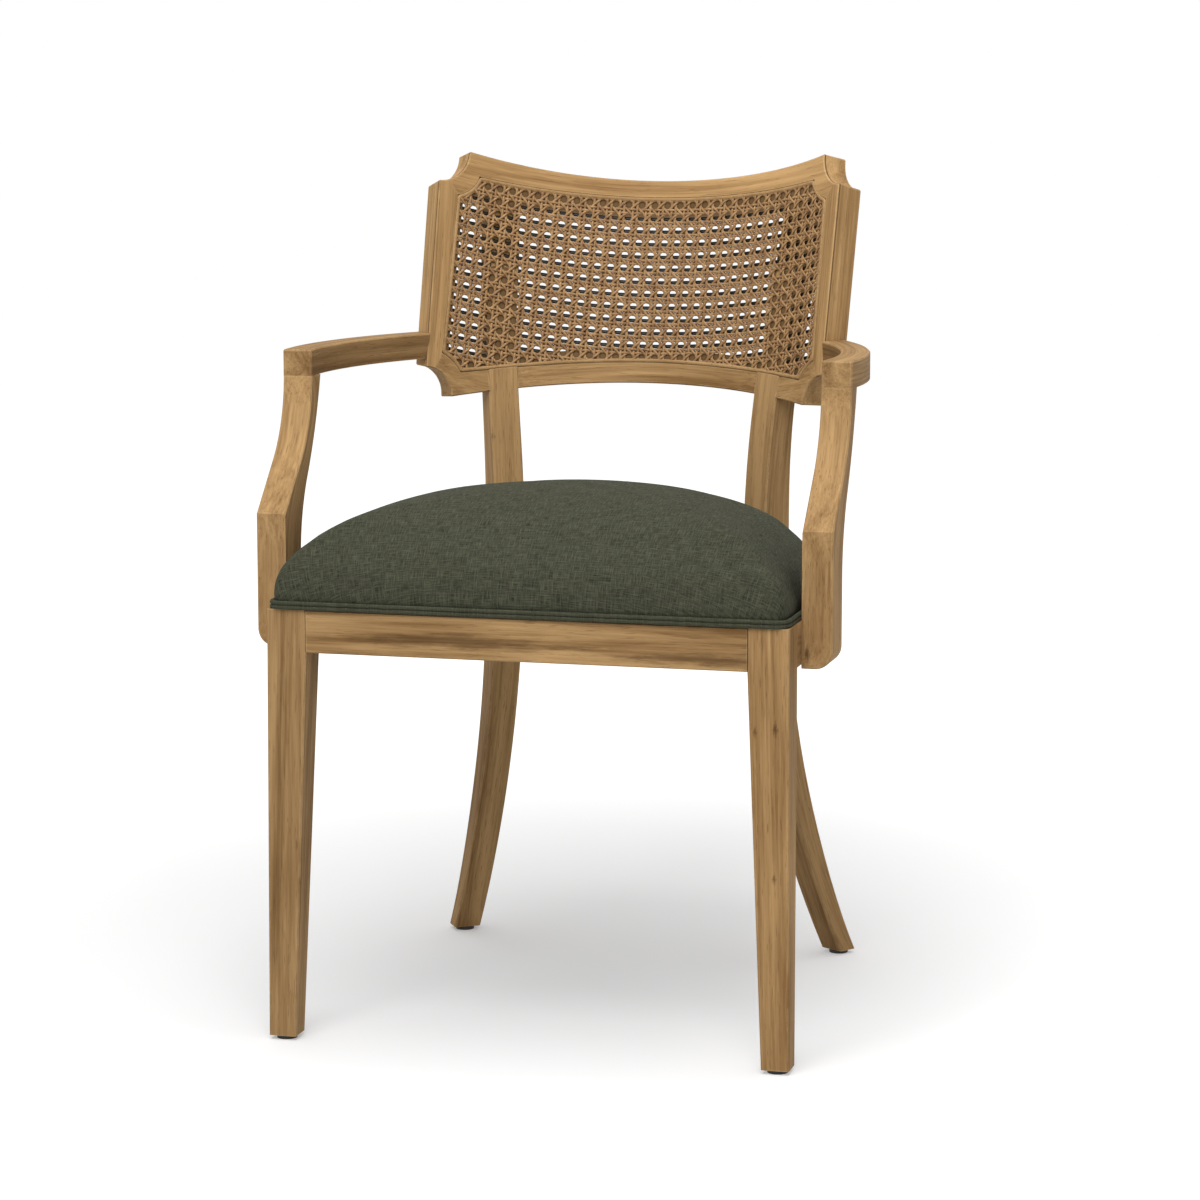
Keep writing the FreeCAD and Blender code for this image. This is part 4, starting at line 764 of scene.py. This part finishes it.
def weave(name, mesh, material, values):
    piece = new_object(name, mesh)
    grow(piece, strands, Material=material, **values)
    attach(piece, "root")
    return piece


woven = {name: weave(name, lines_mesh(name, courses[name]), *form) for name, form in COURSE_FORMS.items()}
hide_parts("cane_panel")

# %% [markdown]
# A reed is pressed into the groove round the cane and holds it. Its rounded top stands a little above
# the frame, so a thin dark line stays on both sides. Its path could be offset from the outline piece
# by piece; it is shorter to look outwards from the middle of the sheet in every direction until the
# opening ends, and to let the strand tree sweep and bend it.

# %% Reed round the cane
REED_RAYS = 720
REED_WIDE = 0.0042
REED_DEEP = 0.0036
GROOVE_WIDE = 0.0045


def edge_towards(turn):
    """Point of the groove's middle line in one direction from the middle of the sheet."""
    near, far = 0.0, SHEET_HALF
    for _ in range(24):
        half = (near + far) / 2
        if in_opening(half * math.cos(turn), half * math.sin(turn), GROOVE_WIDE / 2):
            near = half
        else:
            far = half
    return near * math.cos(turn), near * math.sin(turn)


reed_mesh = bpy.data.meshes.new("cane_reed")
reed_points = [edge_towards(2 * math.pi * k / REED_RAYS) for k in range(REED_RAYS)]
reed_mesh.from_pydata([(u, 0, v) for u, v in reed_points],
                      [(k, (k + 1) % REED_RAYS) for k in range(REED_RAYS)], [])
reed_tan = wood("reed_tan", ALONG_X, (0.2, 0.1, 0.3), 0.5, (0.48, 0.305, 0.14, 1), (0.27, 0.15, 0.06, 1))
reed = weave("cane_reed", reed_mesh, reed_tan, {
    "Width": REED_WIDE, "Thickness": REED_DEEP, "Depth": 0.0009, "Wave height": 0.0, "Step": 0.0016,
    "Sides": 10})
for polygon in reed.data.polygons:
    polygon.use_smooth = True
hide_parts("cane_spline")

# %% [markdown]
# ## The seat cushion
# The seat is foam on a board under tight linen. It rises in a full dome and its sides turn down to
# the welt. A dome is lofted from the seat's outline, remeshed to even cells, and blown up a little
# by the cloth solver, so that it gets the soft fullness that a lofted form lacks.

# %% Outline of the seat
SEAT_HALF = 0.245
SEAT_FRONT = FRONT_FACE - 0.004
SEAT_REAR = FRONT_FACE + 0.414
SEAT_CORNER = 0.014
LEAST_CORNER = 0.002
SEAT_BEND = FRONT_FACE + 0.110
SEAT_SIDE_RADIUS = 0.495
SEAT_SWEEP = math.radians(30)
RAIL_TOP = 0.408


def arc_points(centre, radius, start, finish, count):
    turns = [start + (finish - start) * k / count for k in range(count)]
    return [(centre[0] + radius * math.cos(turn), centre[1] + radius * math.sin(turn)) for turn in turns]


def seat_outline(inset):
    """Points round the seat, anticlockwise from the front, drawn in by an inset."""
    half = SEAT_HALF - inset
    front = SEAT_FRONT + inset
    corner = max(SEAT_CORNER - inset, LEAST_CORNER)
    radius = SEAT_SIDE_RADIUS - inset
    axis = half - radius
    rear = SEAT_REAR - inset
    tail = (axis + radius * math.cos(SEAT_SWEEP), SEAT_BEND + radius * math.sin(SEAT_SWEEP))
    rise = rear - tail[1]
    rear_radius = (tail[0] ** 2 + rise ** 2) / (2 * rise)
    rear_angle = math.asin(tail[0] / rear_radius)
    right = [(half * k / 12, front) for k in range(1, 12)]
    right += arc_points((half - corner, front + corner), corner, -math.pi / 2, 0, 8)
    right += [(half, front + corner + (SEAT_BEND - front - corner) * k / 6) for k in range(6)]
    right += arc_points((axis, SEAT_BEND), radius, 0, SEAT_SWEEP, 16)
    right += arc_points((0, rear - rear_radius), rear_radius, math.pi / 2 - rear_angle, math.pi / 2, 14)
    right = [point for point in right if point[0] > 1e-6 and point[0] <= half + 1e-9]
    left = [(-x, y) for x, y in reversed(right)]
    return [(0, front)] + right + [(0, rear)] + left


print("outline points:", len(seat_outline(0)))

# %% Dome before the cloth solver
CUSHION_INSET = 0.005
CUSHION_BOTTOM = RAIL_TOP + 0.0018
CROWN_TOP = 0.507
CROWN_MIDDLE = FRONT_FACE + 0.205
FRONT_FULLNESS = 2.5  # 2 gives an ellipse, more a fuller shoulder
REAR_FULLNESS = 2.0
REAR_BLEND = 0.12
SPRING = RAIL_TOP + 0.0095
DOME_RINGS = 22
CELL = 0.0045


def held(value):
    """A share kept between 0 and 1."""
    return min(max(value, 0), 1)


def dome_mesh():
    """Closed dome on the seat's outline, flat below, full and rounded above."""
    outline = seat_outline(CUSHION_INSET)
    count = len(outline)
    rear_shares = [held((y - CROWN_MIDDLE) / REAR_BLEND) for x, y in outline]
    powers = [2 / (FRONT_FULLNESS + (REAR_FULLNESS - FRONT_FULLNESS) * share) for share in rear_shares]
    work = bmesh.new()
    rings = [[work.verts.new((x, y, level)) for x, y in outline] for level in (CUSHION_BOTTOM, SPRING)]
    for number in range(1, DOME_RINGS):
        turn = math.pi / 2 * number / DOME_RINGS
        ring = []
        for (x, y), power in zip(outline, powers):
            scale = math.cos(turn) ** power
            z = SPRING + (CROWN_TOP - SPRING) * math.sin(turn) ** power
            ring.append(work.verts.new((x * scale, CROWN_MIDDLE + (y - CROWN_MIDDLE) * scale, z)))
        rings.append(ring)
    for low, high in zip(rings, rings[1:]):
        for k in range(count):
            work.faces.new((low[k], low[(k + 1) % count], high[(k + 1) % count], high[k]))
    top = work.verts.new((0, CROWN_MIDDLE, CROWN_TOP))
    for k in range(count):
        work.faces.new((rings[-1][k], rings[-1][(k + 1) % count], top))
    work.faces.new(list(reversed(rings[0])))
    bmesh.ops.recalc_face_normals(work, faces=work.faces)
    mesh = bpy.data.meshes.new("seat_cushion")
    work.to_mesh(mesh)
    work.free()
    return mesh


cushion = new_object("seat_cushion", dome_mesh())
remesh = cushion.modifiers.new("even", "REMESH")
remesh.mode = "VOXEL"
remesh.voxel_size = CELL
plain_mesh(cushion)

# %% Blow the dome up
SIM_FRAMES = 20
PRESSURE = 4
SWELL_CAP = 0.002
PIN_BELOW = RAIL_TOP + 0.012


def swell(piece):
    """Run the cloth solver with inner pressure, then limit how far each point has moved."""
    rest = [v.co.copy() for v in piece.data.vertices]
    pinned = piece.vertex_groups.new(name="held")
    pinned.add([k for k, co in enumerate(rest) if co.z < PIN_BELOW], 1.0, "REPLACE")
    cloth = piece.modifiers.new("cloth", "CLOTH")
    cloth.settings.use_pressure = True
    cloth.settings.uniform_pressure_force = PRESSURE
    cloth.settings.effector_weights.gravity = 0
    cloth.settings.vertex_group_mass = "held"
    scene = bpy.context.scene
    for number in range(1, SIM_FRAMES + 1):
        scene.frame_set(number)
    plain_mesh(piece)
    for vertex, start in zip(piece.data.vertices, rest):
        move = vertex.co - start
        if move.length > SWELL_CAP:
            vertex.co = start + move.normalized() * SWELL_CAP
    scene.frame_set(1)


swell(cushion)
print("crown at", round(max(v.co.z for v in cushion.data.vertices), 4))

# %% [markdown]
# The solver leaves small ripples, which a few rounds of smoothing take out. Tight cloth also bulges
# over its welt, but not where an arm post stands against it, so the lower part is pushed outwards
# between the posts.

# %% Smooth the cushion and let it bulge
SMOOTHING = 3
BULGE = 0.0035
BULGE_LOW = RAIL_TOP + 0.006
BULGE_HIGH = 0.055
POST_FRONT = FRONT_FACE + 0.054
POST_REAR = POST_FRONT + 0.065
POST_GAP = 0.004
BLEND_BEFORE = 0.03
BLEND_BEHIND = 0.06


def soften(piece, rounds):
    work = bmesh.new()
    work.from_mesh(piece.data)
    free = [v for v in work.verts if v.co.z > PIN_BELOW]
    for _ in range(rounds):
        bmesh.ops.smooth_vert(work, verts=free, factor=0.5, use_axis_x=True, use_axis_y=True, use_axis_z=True)
    work.to_mesh(piece.data)
    work.free()


def bulge(piece):
    """Push the front and its corners outwards above the welt, up to the arm posts."""
    middle_y = (SEAT_FRONT + SEAT_REAR) / 2
    for vertex in piece.data.vertices:
        rise = (vertex.co.z - BULGE_LOW) / BULGE_HIGH
        if not 0 < rise < 1:
            continue
        before_post = held((POST_FRONT - POST_GAP - vertex.co.y) / BLEND_BEFORE)
        behind_post = held((vertex.co.y - POST_REAR) / BLEND_BEHIND)
        share = math.sin(math.pi * rise ** 0.7) * max(before_post, 0.5 * behind_post)
        out = Vector((vertex.co.x, (vertex.co.y - middle_y) * 0.9, 0)).normalized()
        vertex.co += out * (BULGE * share)


soften(cushion, SMOOTHING)
bulge(cushion)
subdivided = cushion.modifiers.new("finer", "SUBSURF")
subdivided.levels = 1
subdivided.render_levels = 1
plain_mesh(cushion)
for polygon in cushion.data.polygons:
    polygon.use_smooth = True

# %% [markdown]
# The cloth is a slubbed linen: dark olive threads of uneven thickness, lighter where a thick thread
# comes up. Threads drawn on the object's own coordinates would smear down the sides. So each point of
# the cushion stores how far the cloth has run to it from the crown, across and along the seat, and a
# shader group draws threads in both directions on that.

# %% Lay threads on the cushion
def lay_threads(piece):
    """Store for each point how far the cloth has run to it from the crown."""
    values = []
    for vertex in piece.data.vertices:
        x, y, z = vertex.co
        reach = SEAT_REAR - CROWN_MIDDLE if y > CROWN_MIDDLE else CROWN_MIDDLE - SEAT_FRONT
        across = (x / SEAT_HALF) ** 3
        along = ((y - CROWN_MIDDLE) / reach) ** 3
        drop = (CROWN_TOP - z) / (abs(across) + abs(along) + 1e-9)
        values += [x + drop * across, y + drop * along, 0.0]
    attribute = piece.data.attributes.new("cloth", "FLOAT_VECTOR", "POINT")
    attribute.data.foreach_set("vector", values)


lay_threads(cushion)
print("cloth coordinates stored on", len(cushion.data.vertices), "points")

# %% Linen group
THREAD_FINE = 820  # slubs in a metre, across a thread
THREAD_LONG = 70  # the same, along it

linen, linen_in, linen_out = node_group(
    "ShaderNodeTree", "slub_linen",
    [("Cloth", "Vector", None), ("Light", "Color", (0.13, 0.135, 0.1, 1)),
     ("Dark", "Color", (0.05, 0.054, 0.038, 1)), ("Thread", "Float", 0.0011)],
    [("Color", "Color"), ("Roughness", "Float"), ("Height", "Float")])
cloth_at = linen_in["Cloth"]
upright_slubs = noise(linen, cloth_at, 1.0, 2, 0.6, stretch=(THREAD_FINE, THREAD_LONG, 1))
level_slubs = noise(linen, cloth_at, 1.0, 2, 0.6, stretch=(THREAD_LONG, THREAD_FINE, 1))
cloud = noise(linen, cloth_at, 38, 3, 0.6)
fleck = noise(linen, cloth_at, 1.0, 1, stretch=(700, 700, 1))
apart = add(linen, "ShaderNodeSeparateXYZ", {0: cloth_at}).outputs
waves = []
for side in ("X", "Y"):
    passed = maths(linen, "DIVIDE", apart[side], linen_in["Thread"])
    waves.append(maths(linen, "SINE", maths(linen, "MULTIPLY", passed, 2 * math.pi)))
crossing = maths(linen, "MULTIPLY", *waves)
even_tone = maths(linen, "MULTIPLY", maths(linen, "ADD", upright_slubs, level_slubs), 0.22)
upper_tone = maths(linen, "MULTIPLY", maths(linen, "MAXIMUM", upright_slubs, level_slubs), 0.56)
thread_tone = maths(linen, "ADD", even_tone, upper_tone, swing(linen, cloud, 0.1), swing(linen, fleck, 0.15),
                    maths(linen, "MULTIPLY", crossing, 0.05))
plug(linen, linen_out, {
    "Color": mixed(linen, mapped(linen, thread_tone, 0.365, 0.735), linen_in["Dark"], linen_in["Light"]),
    "Roughness": mapped(linen, thread_tone, 0.3, 0.7, 0.95, 0.82),
    "Height": maths(linen, "ADD", maths(linen, "MULTIPLY", crossing, 0.4), thread_tone)})
print("linen group nodes:", len(linen.nodes))

# %% Linen on the cushion
def linen_finish(name, light, dark):
    material, tree, shader = new_material(name)
    plug(tree, shader, {"Specular IOR Level": 0.08, "Sheen Weight": 0.015, "Sheen Roughness": 0.5})
    cloth = add(tree, "ShaderNodeAttribute", attribute_name="cloth")
    threads = use(tree, linen, {"Cloth": cloth.outputs["Vector"], "Light": light, "Dark": dark})
    coat(tree, shader, threads["Color"], threads["Roughness"], threads["Height"], 0.4, 0.0005)
    return material


seat_linen = linen_finish("seat_linen", (0.103, 0.107, 0.07, 1), (0.021, 0.0225, 0.0138, 1))
cushion.data.materials.clear()
cushion.data.materials.append(seat_linen)
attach(cushion, "root")
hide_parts("seat_cover", "seat_foam")
print("cushion faces:", len(cushion.data.polygons))

# %% [markdown]
# ## The double welt
# Two thin cords covered in the same linen close the cushion's lower edge and hide the staples. They
# follow the seat's outline, so one small node tree sweeps a round section along it. It also stores
# the cloth coordinates, along the cord and round it, so that the linen runs with the cord.

# %% Welt tree
WELT_RADIUS = 0.002

welt, welt_in, welt_out = node_group("GeometryNodeTree", "welt_cord", [
    ("Geometry", "Geometry", None), ("Radius", "Float", WELT_RADIUS), ("Step", "Float", 0.003),
    ("Sides", "Int", 12), ("Material", "Material", None)], [("Geometry", "Geometry")])


def with_length(curve, label):
    """The curve with the length along it kept as an attribute: its geometry and that attribute."""
    kept = add(welt, "GeometryNodeCaptureAttribute", domain="POINT")
    kept.capture_items.new("FLOAT", label)
    plug(welt, kept, {"Geometry": curve, label: length})
    return kept.outputs["Geometry"], kept.outputs[label]


length = add(welt, "GeometryNodeSplineParameter").outputs["Length"]
cord = then(welt, welt_in["Geometry"], "GeometryNodeMeshToCurve")
cord = then(welt, cord, "GeometryNodeResampleCurve", {"Length": welt_in["Step"]}, mode="LENGTH")
cord, along_cord = with_length(cord, "run")
ring = add(welt, "GeometryNodeCurvePrimitiveCircle",
           {"Resolution": welt_in["Sides"], "Radius": welt_in["Radius"]})
ring, round_cord = with_length(ring.outputs["Curve"], "turn")
cloth_place = add(welt, "ShaderNodeCombineXYZ", {"X": along_cord, "Y": round_cord})
cord = then(welt, cord, "GeometryNodeCurveToMesh", {"Profile Curve": ring})
cord = then(welt, cord, "GeometryNodeStoreNamedAttribute", {"Name": "cloth", "Value": cloth_place.outputs[0]},
            data_type="FLOAT_VECTOR", domain="POINT")
end_tree(welt, then(welt, cord, "GeometryNodeSetShadeSmooth"), welt_in, welt_out)
print("welt tree nodes:", len(welt.nodes))

# %% Sew the welt on
welt_linen = linen_finish("welt_linen", (0.105, 0.108, 0.07, 1), (0.028, 0.03, 0.018, 1))
welt_mesh = bpy.data.meshes.new("seat_welt_cords")
welt_points = []
welt_edges = []
for row in (1, 3):
    ring_points = [(x, y, RAIL_TOP + row * WELT_RADIUS) for x, y in seat_outline(WELT_RADIUS)]
    first = len(welt_points)
    count = len(ring_points)
    welt_points += ring_points
    welt_edges += [(first + k, first + (k + 1) % count) for k in range(count)]
welt_mesh.from_pydata(welt_points, welt_edges, [])
welt_cords = new_object("seat_welt_cords", welt_mesh)
grow(welt_cords, welt, Material=welt_linen)
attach(welt_cords, "root")
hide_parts("seat_welt")

# %% [markdown]
# ## The dust cloth
# A thin black cloth is stapled under the rails and hides the inside of the seat. It is stretched, so
# it needs no solver: a flat sheet is cut into small cells and sags a little in the middle by a formula.

# %% Dust cloth
DUST_LEVEL = 0.3676
DUST_SAG = 0.003
DUST_CUTS = 12
DUST_START = (-0.24, -0.26)
DUST_SPAN = (0.48, 0.40)
DUST_THICK = 0.0006
SAG_MIDDLE = -0.06
SAG_HALF = 0.2
DUST_OUTLINE = [(0.2015, 0.008), (0.2015, 0.044), (0.2315, 0.044), (0.2315, 0.110), (0.140, 0.369),
                (0.100, 0.409)]
DUST_RIGHT = [(x, FRONT_FACE + y) for x, y in DUST_OUTLINE]

work = bmesh.new()
corners = [work.verts.new((x, y, DUST_LEVEL)) for x, y in DUST_RIGHT]
corners += [work.verts.new((-x, y, DUST_LEVEL)) for x, y in reversed(DUST_RIGHT)]
work.faces.new(corners)
for k in range(1, DUST_CUTS):
    x, y = (start + span * k / DUST_CUTS for start, span in zip(DUST_START, DUST_SPAN))
    for normal, place in (((1, 0, 0), (x, 0, 0)), ((0, 1, 0), (0, y, 0))):
        everything = work.verts[:] + work.edges[:] + work.faces[:]
        bmesh.ops.bisect_plane(work, geom=everything, plane_co=place, plane_no=normal)
for vertex in work.verts:
    across = max(0, 1 - (vertex.co.x / SAG_HALF) ** 2)
    along = max(0, 1 - ((vertex.co.y - SAG_MIDDLE) / SAG_HALF) ** 2)
    vertex.co.z -= DUST_SAG * (across * along)
bmesh.ops.recalc_face_normals(work, faces=work.faces)
dust_area = sum(face.calc_area() for face in work.faces)
dust_mesh = bpy.data.meshes.new("dust_cloth")
work.to_mesh(dust_mesh)
work.free()
print("dust cloth area", round(dust_area, 4), "m2")

# %% Staple the dust cloth on
dust_cloth = new_object("dust_cloth", dust_mesh)
thick = dust_cloth.modifiers.new("thick", "SOLIDIFY")
thick.thickness = DUST_THICK
thick.offset = 0
plain_mesh(dust_cloth)
dust_black = speckled("dust_black", (0.035, 0.035, 0.035, 1), (0.012, 0.012, 0.012, 1), 0.85, 1200)
dust_cloth.data.materials.append(dust_black)
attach(dust_cloth, "root")
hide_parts("dust_cover")
